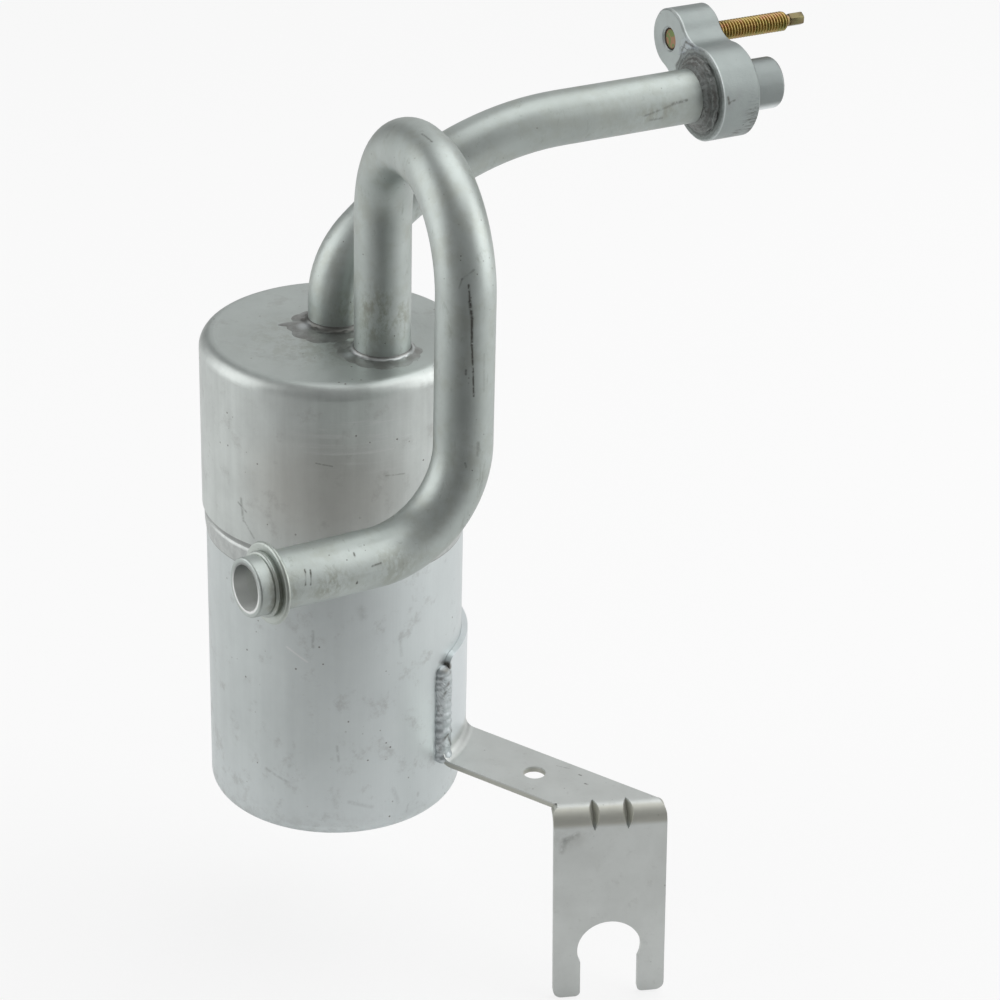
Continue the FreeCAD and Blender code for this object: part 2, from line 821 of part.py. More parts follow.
def make_filter_screen():
    low = floor_top + filter_floor_gap + filter_disc
    ring = ring_face(pickup_middle + UP * low, UP, screen_radius, screen_radius - screen_wall)
    return ring.extrude(UP * (filter_shelf - low))


def make_filter_cap():
    low = floor_top + filter_floor_gap
    disc = Part.makeCylinder(filter_radius, filter_disc, pickup_middle + UP * low)
    post = Part.makeCylinder(post_radius, filter_shelf - low, pickup_middle + UP * low)
    return disc.fuse(post).removeSplitter()


def make_bag(side):
    centre = bag_clearance + tube_radius + bag_depth / 2
    box = Part.makeBox(bag_length, bag_depth, bag_height, Vec(-bag_length / 2, -bag_depth / 2, 0))
    bag = box.makeFillet(bag_round, box.Edges)
    turn = math.degrees(math.atan2(pickup_way.y, pickup_way.x))
    bag.rotate(Vec(0, 0, 0), UP, turn)
    bag.translate(pickup_middle + bag_way * (side * centre) + UP * bag_bottom)
    return bag


def strap_outline(grow):
    half_long = pickup_bend + tube_radius + grow
    half_deep = bag_clearance + tube_radius + bag_depth + grow
    r = bag_round + half_long - bag_length / 2
    z = strap_middle - strap_height / 2
    edges = []
    signs = ((1, 1), (-1, 1), (-1, -1), (1, -1))
    ends = []
    for k, (sx, sy) in enumerate(signs):
        cx = sx * (half_long - r)
        cy = sy * (half_deep - r)
        angles = [math.radians(90 * k + a) for a in (0, 45, 90)]
        points = [Vec(cx + r * math.cos(t), cy + r * math.sin(t), z) for t in angles]
        edges.append(Part.Arc(*points).toShape())
        ends.append((points[0], points[2]))
    for k in range(4):
        edges.append(Part.LineSegment(ends[k][1], ends[(k + 1) % 4][0]).toShape())
    return Part.Wire(Part.__sortEdges__(edges))


def make_strap():
    outer = Part.Face(strap_outline(strap_clearance + strap_thickness)).extrude(UP * strap_height)
    strap = outer.cut(Part.Face(strap_outline(strap_clearance)).extrude(UP * strap_height))
    turn = math.degrees(math.atan2(pickup_way.y, pickup_way.x))
    strap.rotate(Vec(0, 0, 0), UP, turn)
    strap.translate(Vec(pickup_middle.x, pickup_middle.y, 0))
    return strap


# Spilled braze round each tube: direction in degrees and how far it ran past the fillet's foot
inlet_spill = [(-166, 5.86), (-150, 5.06), (-130, 6.26), (-109, 6.86), (-93, 5.66), (-78, 3.46), (-58, 1.66),
               (-20, 0.56), (30, 0.46), (80, 0.46), (125, 0.46), (158, 0.66), (176, 2.66)]
outlet_spill = [(172, 3.86), (-171, 3.06), (-147, 2.46), (-119, 3.26), (-92, 3.86), (-63, 3.26), (-35, 1.66),
                (2, 0.96), (40, 0.46), (80, 0.46), (120, 0.46), (150, 0.66)]


def main():
    os.makedirs("parts", exist_ok=True)
    save("upper_shell", make_upper_shell())
    save("lower_shell", revolved(lower_shell_profile()))
    save("girth_weld", make_girth_weld())
    save("outlet_tube", make_outlet_tube())
    save("inlet_tube", make_inlet_tube())
    save("outlet_braze", make_cover_braze(outlet_x, outlet_y, outlet_spill))
    save("inlet_braze", make_cover_braze(inlet_x, inlet_y, inlet_spill))
    save("inlet_block", make_inlet_block())
    save("block_braze", make_block_braze())
    save("fixing_stud", make_fixing_stud())
    bracket = save("mounting_bracket", make_bracket())
    save("bracket_weld_front", make_bracket_weld(saddle_from - bead_lag, bracket))
    save("bracket_weld_rear", make_bracket_weld(saddle_to + bead_lag, bracket))
    save("pickup_tube", make_pickup_tube())
    save("baffle_cap", make_baffle())
    save("filter_housing", make_filter_housing())
    save("filter_screen", make_filter_screen())
    save("filter_cap", make_filter_cap())
    save("desiccant_bag_near", make_bag(1))
    save("desiccant_bag_far", make_bag(-1))
    save("bag_strap", make_strap())


main()
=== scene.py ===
import math
import random

import bpy
from bpy.props import FloatProperty, FloatVectorProperty, IntProperty, PointerProperty
from mathutils import Matrix, Quaternion, Vector


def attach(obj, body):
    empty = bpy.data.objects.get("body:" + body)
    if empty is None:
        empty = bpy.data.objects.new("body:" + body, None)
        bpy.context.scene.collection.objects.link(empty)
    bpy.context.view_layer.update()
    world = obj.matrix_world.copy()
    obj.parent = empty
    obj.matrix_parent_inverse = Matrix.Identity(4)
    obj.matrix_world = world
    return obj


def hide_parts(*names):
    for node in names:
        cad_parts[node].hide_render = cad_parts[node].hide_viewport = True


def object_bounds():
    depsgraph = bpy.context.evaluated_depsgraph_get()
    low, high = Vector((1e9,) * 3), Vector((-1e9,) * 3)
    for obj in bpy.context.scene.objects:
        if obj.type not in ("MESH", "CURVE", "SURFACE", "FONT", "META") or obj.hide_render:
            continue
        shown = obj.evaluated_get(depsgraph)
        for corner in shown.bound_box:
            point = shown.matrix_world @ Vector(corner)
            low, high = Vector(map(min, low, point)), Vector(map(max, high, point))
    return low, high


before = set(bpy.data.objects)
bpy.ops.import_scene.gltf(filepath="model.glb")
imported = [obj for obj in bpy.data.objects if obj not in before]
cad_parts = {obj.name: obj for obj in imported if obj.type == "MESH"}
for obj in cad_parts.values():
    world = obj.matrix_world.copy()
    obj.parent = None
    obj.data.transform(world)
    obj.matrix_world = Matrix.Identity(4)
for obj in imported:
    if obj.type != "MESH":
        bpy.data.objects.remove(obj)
cad_low, cad_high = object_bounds()

bl_info = {
    "name": "Air Conditioning Accumulator",
    "version": (1, 0, 0),
    "blender": (4, 5, 0),
    "location": "View3D > Sidebar > Accumulator",
    "description": "Finishes the metal of an air conditioning accumulator and sets its studio stage",
    "category": "Object",
}

MM = 0.001
UP = Vector((0.0, 0.0, 1.0))
INLET_HEADING = math.radians(28.9)
INLET_WAY = Vector((math.cos(INLET_HEADING), math.sin(INLET_HEADING), 0.0))
INLET_SIDE = UP.cross(INLET_WAY)
# Places on the part in millimetres: the block's face, the foot of its stud, the nose and the cover
BLOCK_FACE = Vector((0.0, 7.3, 194.3)) + INLET_WAY * 116.9
STUD_START = BLOCK_FACE + INLET_SIDE * 17.4 + UP * 11.4 + INLET_WAY * 0.7
NOSE_WAY = Vector((-0.8179, -0.5727, 0.0558))
NOSE_MOUTH = Vector((-16.77, -105.22, 119.51))
COVER_TOP = 144.7
TUBE_RADIUS = 7.94
INLET_CENTRE = (0.0, 7.3, COVER_TOP)
OUTLET_CENTRE = (13.9, -11.5, COVER_TOP)
MARK_INK = (0.12, 0.12, 0.11)
# Painted shade lines along the grooves of the front bead: start, end and width
GROOVE_SHADES = (
    ((31.6, -21.1, 44.9), (34.1, -19.1, 46.0), 0.9), ((31.2, -21.0, 41.0), (34.0, -20.2, 42.8), 0.9),
    ((31.4, -20.8, 38.0), (33.1, -20.8, 40.4), 0.8), ((31.7, -20.9, 23.5), (34.1, -20.2, 25.5), 0.8),
    ((34.1, -20.2, 25.5), (34.9, -18.6, 21.5), 0.8), ((34.7, -19.7, 37.1), (35.6, -18.0, 34.6), 0.7),
    ((34.8, -19.6, 32.0), (35.6, -18.0, 29.5), 0.7), ((34.8, -19.4, 27.4), (35.6, -17.8, 25.0), 0.7),
    ((31.1, -21.0, 35.2), (31.1, -21.0, 34.4), 0.8), ((31.7, -21.1, 22.0), (31.7, -21.1, 21.2), 0.9))
# Soft boxes: name, place and size in metres
LAMPS = (("top", (0.5, 0.35, 1.4), 1.35), ("left", (-1.1, 0.0, 0.5), 1.2), ("right", (1.25, 0.05, 0.55), 1.2),
         ("back", (0.1, 1.4, 0.8), 1.4))
LAMP_AIM = Vector((0.04, -0.02, 0.11))
# The camera, fitted to the can's outlines
CAMERA_PLACE = Vector((47.531, -820.674, 512.360)) * MM
CAMERA_PITCH = 0.47275
CAMERA_ROLL = -0.02379


# Shader graph helpers


class Value:
    """A number that varies over the surface; arithmetic on it adds Math nodes."""

    def __init__(self, graph, socket):
        self.graph = graph
        self.socket = socket

    def _math(self, operation, first, second=None, third=None):
        sockets = {0: first}
        if second is not None:
            sockets[1] = second
        if third is not None:
            sockets[2] = third
        node = self.graph.add("ShaderNodeMath", {"operation": operation}, sockets)
        return Value(self.graph, node.outputs[0])

    def __add__(self, other):
        return self._math("ADD", self, other)

    def __radd__(self, other):
        return self._math("ADD", other, self)

    def __sub__(self, other):
        return self._math("SUBTRACT", self, other)

    def __rsub__(self, other):
        return self._math("SUBTRACT", other, self)

    def __mul__(self, other):
        return self._math("MULTIPLY", self, other)

    def __rmul__(self, other):
        return self._math("MULTIPLY", other, self)

    def __abs__(self):
        return self._math("ABSOLUTE", self)

    def atleast(self, other):
        return self._math("MAXIMUM", self, other)

    def atmost(self, other):
        return self._math("MINIMUM", self, other)

    def wave(self):
        return self._math("SINE", self)

    def root(self):
        return self._math("SQRT", self)

    def step(self, low, high):
        """0 below low and 1 above high, smooth between; high may be below low."""
        sockets = {"Value": self, "From Min": low, "From Max": high, "To Min": 0.0, "To Max": 1.0}
        if high < low:
            sockets = {"Value": self, "From Min": high, "From Max": low, "To Min": 1.0, "To Max": 0.0}
        node = self.graph.add("ShaderNodeMapRange", {"interpolation_type": "SMOOTHSTEP"}, sockets)
        return Value(self.graph, node.outputs[0])


class NodeTree:
    """A node tree that is built up from nothing."""

    def __init__(self, tree):
        self.tree = tree
        tree.nodes.clear()

    def add(self, kind, settings=None, sockets=None):
        """Adds any node: settings first, then the values or links of its sockets."""
        node = self.tree.nodes.new(kind)
        for key, value in (settings or {}).items():
            if key == "stops":
                self._set_stops(node.color_ramp, value)
            else:
                setattr(node, key, value)
        for key, value in (sockets or {}).items():
            self.feed(node, key, value)
        return node

    def _set_stops(self, ramp, stops):
        while len(ramp.elements) < len(stops):
            ramp.elements.new(1.0)
        for element, (position, colour) in zip(ramp.elements, stops):
            element.position = position
            element.color = (*colour, 1.0)

    def feed(self, node, key, value):
        """Links a socket to another, or sets its value."""
        socket = node.inputs[key]
        if isinstance(value, Value):
            value = value.socket
        if isinstance(value, bpy.types.NodeSocket):
            self.tree.links.new(value, socket)
        elif hasattr(value, "__len__") and len(value) == 3 and socket.type == "RGBA":
            socket.default_value = (*value, 1.0)
        else:
            socket.default_value = value


class Graph(NodeTree):
    """The node tree of one material, ending in a Principled shader; places are in millimetres."""

    def __init__(self, name, **shader):
        self.material = bpy.data.materials.new(name)
        self.material.use_nodes = True
        super().__init__(self.material.node_tree)
        self.shader = self.add("ShaderNodeBsdfPrincipled", {}, shader)
        self.output = self.add("ShaderNodeOutputMaterial", {}, {0: self.shader.outputs[0]})
        self.colour = None
        coordinates = self.add("ShaderNodeTexCoord").outputs["Object"]
        self.place = self.vector("SCALE", coordinates, 1 / MM)
        split = self.add("ShaderNodeSeparateXYZ", {}, {0: self.place})
        self.x, self.y, self.z = (Value(self, socket) for socket in split.outputs)

    def vector(self, operation, first, second, output=0):
        """Adds a Vector Math node; SCALE takes a number as its second value."""
        second_key = "Scale" if operation == "SCALE" else 1
        node = self.add("ShaderNodeVectorMath", {"operation": operation}, {0: first, second_key: second})
        return node.outputs[output]

    def shifted(self, stretch, offset):
        """The place, stretched and moved where either is given."""
        if stretch is None and not any(offset):
            return self.place
        return self.add("ShaderNodeMapping", {}, {"Vector": self.place, "Scale": stretch or (1, 1, 1),
                                                  "Location": offset}).outputs[0]

    def noise(self, scale, detail=3.0, rough=0.55, stretch=None, offset=(0.0, 0.0, 0.0), warp=0.0):
        """Cloudy noise from 0 to 1; scale counts cells per millimetre, stretch multiplies each axis."""
        node = self.add("ShaderNodeTexNoise", {}, {"Vector": self.shifted(stretch, offset), "Scale": scale,
                                                   "Detail": detail, "Roughness": rough, "Distortion": warp})
        return Value(self, node.outputs[0])

    def cells(self, scale, offset):
        """Distance to the nearest of scattered points, in cells."""
        node = self.add("ShaderNodeTexVoronoi", {}, {"Vector": self.shifted(None, offset), "Scale": scale})
        return Value(self, node.outputs["Distance"])

    def spot(self, centre, radii, soft=0.6):
        """1 inside an ellipsoid about a point in millimetres, falling to 0 at its edge."""
        scaled = self.vector("DIVIDE", self.vector("SUBTRACT", self.place, centre), radii)
        distance = Value(self, self.vector("DISTANCE", scaled, (0.0, 0.0, 0.0), "Value"))
        return distance.step(1.0, 1.0 - soft)

    def stroke(self, start, end, width):
        """1 on a line between two points in millimetres, falling to 0 at a width from it."""
        way = Vector(end) - Vector(start)
        from_start = self.vector("SUBTRACT", self.place, start)
        share = Value(self, self.vector("DOT_PRODUCT", from_start, way / way.length_squared, "Value"))
        nearest = self.vector("SCALE", way, share.atleast(0.0).atmost(1.0))
        return Value(self, self.vector("DISTANCE", from_start, nearest, "Value")).step(width, 0.0)

    def from_axis(self, start):
        """How far beyond a start each point lies along the inlet's level axis, and how far off it."""
        along = (self.x - start.x) * INLET_WAY.x + (self.y - start.y) * INLET_WAY.y
        across = (self.x - start.x) * INLET_SIDE.x + (self.y - start.y) * INLET_SIDE.y
        rise = self.z - start.z
        return along, (across * across + rise * rise).root()

    def from_upright(self, x=0.0, y=0.0):
        """Distance from an upright axis."""
        across = self.x - x
        deep = self.y - y
        return (across * across + deep * deep).root()

    def pits(self, scale, size, patches, offset=(0.0, 0.0, 0.0)):
        """Round pits, as (edge, centre) in cells, within patches (noise scale, low, high)."""
        pit = self.cells(scale, offset).step(*size)
        return pit * self.noise(patches[0], 1.0).step(*patches[1:])

    def blend(self, factor, first, second):
        """Mixes two colours by a factor."""
        node = self.add("ShaderNodeMix", {"data_type": "RGBA"}, {0: factor})
        self.feed(node, 6, first)
        self.feed(node, 7, second)
        return node.outputs[2]

    def paint(self, mask, tone):
        """Lays a tone over the colour so far, where the mask is 1."""
        self.colour = self.blend(mask, self.colour, tone)

    def mark(self, marks):
        """Dark broken strokes (start, end, width, strength) worn or scratched into the surface; a few are
        painted shade.
        """
        broken = self.noise(1.1, 3.0, 0.6).step(0.25, 0.55)
        for start, end, width, strength in marks:
            self.paint(self.stroke(start, end, width) * broken * strength, MARK_INK)

    def finish(self, roughness=None, height=None, depth=0.1, metallic=None):
        """Feeds the shader; depth is the bump's height in millimetres."""
        self.feed(self.shader, "Base Color", self.colour)
        if roughness is not None:
            self.feed(self.shader, "Roughness", roughness)
        if metallic is not None:
            self.feed(self.shader, "Metallic", metallic)
        if height is not None:
            bump = self.add("ShaderNodeBump", {}, {"Height": height, "Distance": depth * MM, "Strength": 1.0})
            self.feed(self.shader, "Normal", bump.outputs[0])
        return self.material


# Metals


def grey(level, tint=(1.0, 1.0, 1.0)):
    """A colour of one level, tinted."""
    return tuple(level * part for part in tint)


def shell_metal(name, settings, upper):
    """Drawn can: satin with streaks, clouds, stains, pits and rubbed marks, with painted light and shade."""
    graph = Graph(name, Metallic=0.92)
    clouds = graph.noise(0.035, 4.0, 0.6)
    blotch = graph.noise(0.09, 5.0, 0.68, offset=(30.0, 0.0, 8.0))
    streaks = graph.noise(0.22, 4.0, 0.6, stretch=(1.0, 1.0, 0.05))
    fine = graph.noise(1.6, 2.0, 0.5, stretch=(1.0, 1.0, 0.03))
    mottle = graph.noise(0.6, 6.0, 0.7)
    pits = graph.pits(0.3, (0.12, 0.05), (0.07, 0.5, 0.6))
    tone = (clouds.step(0.3, 0.7) * 0.3 + streaks.step(0.3, 0.7) * 0.3 + blotch.step(0.3, 0.7) * 0.25
            + mottle * 0.15)
    graph.colour = graph.blend(tone, settings.shell_dark, settings.shell_light)
    dirt = graph.noise(0.13, 6.0, 0.72).step(0.54, 0.7)
    if upper:
        # Warm tint and painted shade: the front of the upper can below the shoulder is painted darker
        warm_front_shade = graph.spot((-2.0, -37.0, 112.0), (34.0, 18.0, 26.0), 0.8)
        graph.paint(warm_front_shade * 0.3, (0.5, 0.46, 0.4))
        rubbed = graph.noise(0.5, 4.0, 0.65, stretch=(0.12, 0.12, 1.6), offset=(0.0, 0.0, 3.0))
        rubbed = rubbed.step(0.5, 0.68) * graph.spot((10.0, -36.0, 128.0), (26.0, 14.0, 14.0), 0.7)
        graph.paint(rubbed * 0.35, grey(0.72))
        turned = (graph.from_upright() * 5.2).wave()
        # Painted shade: the flat top of the cover is painted darker than the wall
        flat = graph.z.step(COVER_TOP - 1.2, COVER_TOP - 0.2)
        graph.paint(flat * 0.6, (0.45, 0.495, 0.478))
        stained = graph.spot((-2.0, -6.0, COVER_TOP), (34.0, 28.0, 5.0), 0.8)
        stained = stained * graph.noise(0.28, 6.0, 0.75).step(0.42, 0.62)
        graph.paint(stained * 0.45, (0.31, 0.315, 0.27))
        graph.mark((
            ((-24.5, -29.2, 106.0), (-23.9, -29.7, 99.5), 0.8, 0.45),
            ((-23.4, -30.1, 99.2), (-20.8, -31.9, 95.2), 0.5, 0.4),
            ((-25.3, -28.5, 104.5), (-23.0, -30.4, 102.6), 0.5, 0.5),
            ((-3.0, -38.0, 122.0), (1.5, -38.1, 121.2), 0.35, 0.5),
            ((16.0, -34.6, 117.0), (21.0, -31.8, 116.4), 0.4, 0.4)))
        height = fine * 0.2 + mottle * 0.45 + flat * turned * 0.03 + rubbed * 0.2
    else:
        graph.paint(0.45, (0.6, 0.65, 0.66))
        foot = graph.z.step(12.0, 1.0) * graph.noise(0.3, 5.0, 0.72).step(0.42, 0.66)
        graph.paint(foot * 0.4, (0.33, 0.33, 0.32))
        graph.mark((
            ((9.3, -35.9, 75.5), (9.9, -35.7, 73.0), 1.95, 0.24),
            ((-4.2, -36.8, 68.5), (-4.2, -36.8, 63.5), 0.78, 0.33),
            ((2.5, -36.9, 31.0), (3.0, -36.9, 26.0), 0.65, 0.3),
            ((20.1, -31.1, 64.0), (20.6, -30.8, 58.0), 0.91, 0.24),
            ((-18.3, -32.2, 20.0), (-12.0, -35.0, 17.5), 0.78, 0.3),
            ((6.0, -36.5, 12.0), (12.5, -34.9, 9.5), 1.04, 0.36),
            ((18.5, -32.1, 14.0), (20.0, -31.2, 9.0), 1.17, 0.36),
            # Painted shade in the pocket between the saddle's corner and the can, above the front bead
            ((31.3, -19.8, 49.4), (30.3, -21.4, 45.2), 1.56, 0.54),
            ((30.6, -22.6, 37.4), (30.6, -22.6, 36.2), 0.91, 0.96),
            ((31.0, -22.1, 23.8), (31.3, -21.7, 22.6), 0.78, 0.84),
            ((25.6, -26.8, 9.4), (25.6, -26.8, 8.7), 0.78, 0.6),
            ((32.7, -17.4, 6.1), (32.7, -17.4, 5.4), 0.59, 0.48),
            ((22.8, -29.2, 7.0), (22.3, -29.5, 4.8), 0.65, 0.48)))
        # Painted light: the lower can is painted lighter towards its right side and towards its bottom
        pale = (0.74, 0.79, 0.8)
        graph.paint(graph.x.step(-16.0, 26.0) * 0.4, pale)
        graph.paint(graph.z.step(32.0, 6.0) * 0.3, pale)
        graph.paint(graph.stroke((-11.7, -35.2, 62.4), (-5.9, -36.6, 58.5), 0.5) * 0.6, grey(0.75))
        height = fine * 0.25 + mottle * 0.4
    graph.paint(dirt * 0.3, (0.36, 0.355, 0.34))
    graph.paint(pits * 0.8, (0.16, 0.15, 0.14))
    roughness = 0.33 + mottle * 0.16 + streaks * 0.06 + dirt * 0.1
    return graph.finish(roughness, height - pits * 0.8, 0.07)


def weld_metal(name):
    """Smooth weld round the can: even grey band with a painted shade line along each edge."""
    graph = Graph(name, Metallic=0.9)
    ripple = graph.noise(0.3, 3.0, 0.6)
    speck = graph.noise(2.2, 3.0, 0.6)
    # Painted shade: dark lines under the upper shell's lip and along the weld's foot
    line = graph.z.step(85.0, 84.3).atleast(graph.z.step(90.4, 91.4) * 0.8)
    graph.colour = graph.blend(ripple.step(0.3, 0.7), (0.43, 0.45, 0.44), (0.54, 0.565, 0.55))
    graph.paint(line * 0.65, (0.14, 0.145, 0.14))
    return graph.finish(0.32 + speck * 0.14, ripple * 0.5 + speck * 0.2, 0.1)


def tube_metal(name, settings, marks=(), stains=(), bore=None, right_shade=0.0):
    """Bent tube: satin with scuffs where it was gripped.

    marks are strokes and stains are spots (centre, radii, strength); bore is the start and end of the
    axis inside an open end, whose inside is painted light low down and painted shade near the top, and dull
    is how far a painted shade darkens the tube towards +x.
    """
    graph = Graph(name, Metallic=0.93)
    clouds = graph.noise(0.05, 4.0, 0.6)
    mottle = graph.noise(0.6, 6.0, 0.68)
    grain = graph.noise(3.0, 3.0, 0.6)
    scuff = graph.noise(0.35, 6.0, 0.75, stretch=(1.0, 1.0, 0.3), warp=0.4).step(0.57, 0.7)
    pits = graph.pits(0.4, (0.12, 0.04), (0.08, 0.5, 0.58))
    tone = clouds.step(0.3, 0.7) * 0.55 + mottle * 0.45
    graph.colour = graph.blend(tone, settings.tube_dark, settings.tube_light)
    graph.paint(scuff * 0.38, (0.265, 0.28, 0.25))
    haze = graph.noise(0.13, 5.0, 0.7, offset=(9.0, 4.0, 0.0)).step(0.46, 0.66)
    graph.paint(haze * 0.35, (0.36, 0.375, 0.325))
    # Painted shade: the tube darkens towards +x
    graph.paint(graph.x.step(25.0, 60.0) * right_shade, (0.28, 0.31, 0.295))
    for centre, radii, strength in stains:
        worn = graph.noise(0.45, 5.0, 0.7, stretch=(1.0, 1.0, 0.6)).step(0.4, 0.62)
        graph.paint(graph.spot(centre, radii, 0.7) * worn * strength, (0.29, 0.3, 0.25))
    graph.paint(pits * 0.75, (0.14, 0.13, 0.12))
    graph.mark(marks)
    roughness = 0.39 + mottle * 0.14 + scuff * 0.1
    metallic = None
    if bore is not None:
        # Painted light and shade inside the open end: near white low down, dark towards the top
        inside = graph.stroke(bore[0], bore[1], 12.0).step(0.37, 0.45)
        shade = (graph.z - graph.x * 0.25).step(121.0, 129.0)
        graph.paint(inside, graph.blend(shade, (0.98, 1.0, 0.98), (0.26, 0.28, 0.27)))
        depth = (graph.x - bore[0].x) * NOSE_WAY.x + (graph.y - bore[0].y) * NOSE_WAY.y
        # Painted light: the collar's face behind the mouth is lightened
        collar_light = depth.step(-10.0, -9.0) * depth.step(-5.4, -6.2)
        graph.paint(collar_light * 0.2, (0.66, 0.7, 0.62))
        metallic = 0.93 - inside * 0.7
    return graph.finish(roughness, mottle * 0.5 + grain * 0.15 - pits * 0.6, 0.05, metallic)


def torch_swirl(off_axis, wander):
    """Wavy rings that the torch left round the block's joint."""
    return (off_axis * 4.6 + wander * 13.0).wave()


def block_metal(name, settings):
    """Machined block: fine tool lines, a flux smear over its face and dark drag marks below, with painted
    shade, a painted highlight and painted light.
    """
    graph = Graph(name, Metallic=0.9)
    clouds = graph.noise(0.09, 4.0, 0.6)
    cut = graph.noise(2.4, 3.0, 0.6, stretch=(0.25, 0.25, 1.6))
    speck = graph.noise(1.3, 5.0, 0.65)
    smear = graph.noise(0.16, 4.0, 0.7).step(0.52, 0.68)
    along, off_axis = graph.from_axis(BLOCK_FACE)
    face = along.step(0.9, 0.4)
    sides = along.step(0.5, 1.2)
    side_shade_tone = (0.2, 0.225, 0.22)
    tone = clouds.step(0.3, 0.7) * 0.5 + speck * 0.5
    graph.colour = graph.blend(tone, settings.block_dark, settings.block_light)
    # Painted shade: the block's sides are painted darker than its face
    graph.paint(sides * 0.42, side_shade_tone)
    graph.paint(smear * 0.25, (0.27, 0.28, 0.275))
    flux = face * graph.spot((100.0, 68.0, 204.0), (8.0, 8.0, 7.0), 0.45)
    vein = abs(graph.noise(0.24, 2.5, 0.6, offset=(1.0, 2.0, 3.0)) - 0.5).step(0.035, 0.008)
    graph.paint(flux * graph.noise(0.4, 4.0, 0.7).step(0.3, 0.6) * 0.6, (0.4, 0.45, 0.5))
    graph.paint(flux * vein * 0.75, (0.15, 0.16, 0.17))
    graph.mark((
        ((96.2, 74.9, 198.9), (97.2, 73.1, 201.4), 0.9, 0.7),
        ((97.2, 73.1, 201.4), (97.6, 72.4, 204.7), 0.7, 0.7),
        ((97.6, 72.4, 204.7), (98.5, 70.7, 207.8), 0.8, 0.7),
        ((98.5, 70.7, 207.8), (100.2, 67.7, 207.6), 0.7, 0.8),
        ((102.3, 63.8, 207.2), (104.0, 60.8, 205.9), 0.8, 0.5),
        ((110.4, 52.8, 197.6), (110.8, 52.7, 195.6), 0.6, 1.0),
        ((110.8, 52.7, 195.8), (112.5, 53.7, 196.4), 0.5, 0.7)))
    # Painted shade: the sides are painted darker still towards the top
    graph.paint(sides * graph.z.step(200.0, 210.0) * 0.3, side_shade_tone)
    # Painted highlight along the rim of the face
    rim_highlight = along.step(0.05, 0.35) * along.step(1.1, 0.7)
    graph.paint(rim_highlight * 0.22, (0.82, 0.86, 0.86))
    wander = graph.noise(0.6, 5.0, 0.75)
    swirl = torch_swirl(off_axis, wander)
    crust = face * (off_axis + wander * 2.0).step(15.0, 13.6)
    burnt = graph.blend(swirl.step(-0.8, 1.0), (0.11, 0.118, 0.11), (0.23, 0.25, 0.24))
    graph.paint(crust * 0.85, burnt)
    drag = graph.noise(1.6, 5.0, 0.75, stretch=(0.18, 0.18, 1.0)).step(0.42, 0.66)
    worn = graph.spot((118.0, 58.6, 190.5), (5.0, 5.0, 8.5), 0.8).atleast(
        graph.spot((115.0, 59.6, 184.6), (7.5, 5.0, 3.0), 0.7))
    graph.paint(drag * worn, (0.1, 0.1, 0.09))
    pits = graph.pits(0.35, (0.14, 0.06), (0.09, 0.48, 0.58), (3.0, 1.0, 2.0))
    graph.paint(pits * 0.8, (0.12, 0.12, 0.11))
    spigot = along.step(12.9, 13.2)
    turned = (along * 19.0 + wander * 3.0).wave()
    graph.paint(spigot * (0.42 + turned * 0.03), (0.14, 0.155, 0.155))
    # Painted light: the lower part of the spigot is painted lighter
    graph.paint(spigot * graph.z.step(191.0, 188.0) * 0.8, (0.92, 0.97, 0.97))
    height = cut * 0.35 + speck * 0.4 + spigot * turned * 0.01 + crust * (swirl * 0.25 + wander) - pits
    return graph.finish(0.36 + speck * 0.16 + crust * 0.1, height, 0.08)


def braze_metal(name, dark, axis=None, rim_highlight=0.0, fade=0.0):
    """Filler under burnt flux.

    On the cover, axis is the tube's place, rim how bright a painted highlight ring round the tube is and fade
    how far its outer edge takes the cover's tone. Without an axis it is the rough crust of the block's joint.
    """
    graph = Graph(name, Metallic=0.85)
    rough = 1.0 if axis is None else 0.0
    lumps = graph.noise(0.4, 4.0, 0.62)
    speck = graph.noise(1.6, 4.0, 0.7)
    burnt = graph.noise(0.22, 4.0, 0.65).step(0.36, 0.64)
    graph.colour = graph.blend(burnt, grey(dark * 1.2, (1.0, 1.05, 1.02)),
                               grey(dark * 0.85, (1.0, 1.0, 0.95)))
    graph.paint(speck.step(0.56, 0.72) * (0.2 + 0.3 * rough), (0.08, 0.08, 0.07))
    height = lumps * 0.6 + speck * 0.3
    if axis is None:
        off_axis = graph.from_axis(BLOCK_FACE)[1]
        swirl = torch_swirl(off_axis, graph.noise(0.6, 5.0, 0.75))
        graph.paint(swirl.step(-0.3, 1.0) * 0.45, (0.34, 0.37, 0.355))
        height = height + swirl * 0.3
    else:
        reach = graph.from_upright(*axis)
        graph.paint(lumps.step(0.56, 0.7) * 0.15, (0.5, 0.52, 0.51))
        graph.paint(reach.step(9.4, 10.8) * fade, (0.42, 0.45, 0.43))
        # Painted highlight: a bright ring on the filler round the tube
        graph.paint(reach.step(9.2, 8.8) * reach.step(8.2, 8.5) * rim_highlight, (0.6, 0.63, 0.63))
        graph.paint(reach.step(10.4, 8.8) * (0.6 - rim_highlight), (0.1, 0.1, 0.09))
        blob = graph.spot((axis[0] - 8.9, axis[1] - 5.0, COVER_TOP + 0.6), (2.6, 3.4, 2.0), 0.8)
        graph.paint(blob * 0.7, (0.56, 0.59, 0.6))
        # Painted shade: a dark line where the filler meets the tube
        graph.paint(reach.step(8.4, 8.1) * 0.6, (0.08, 0.08, 0.075))
    return graph.finish(0.32 + speck * (0.12 + 0.15 * rough), height, 0.1 + 0.15 * rough)


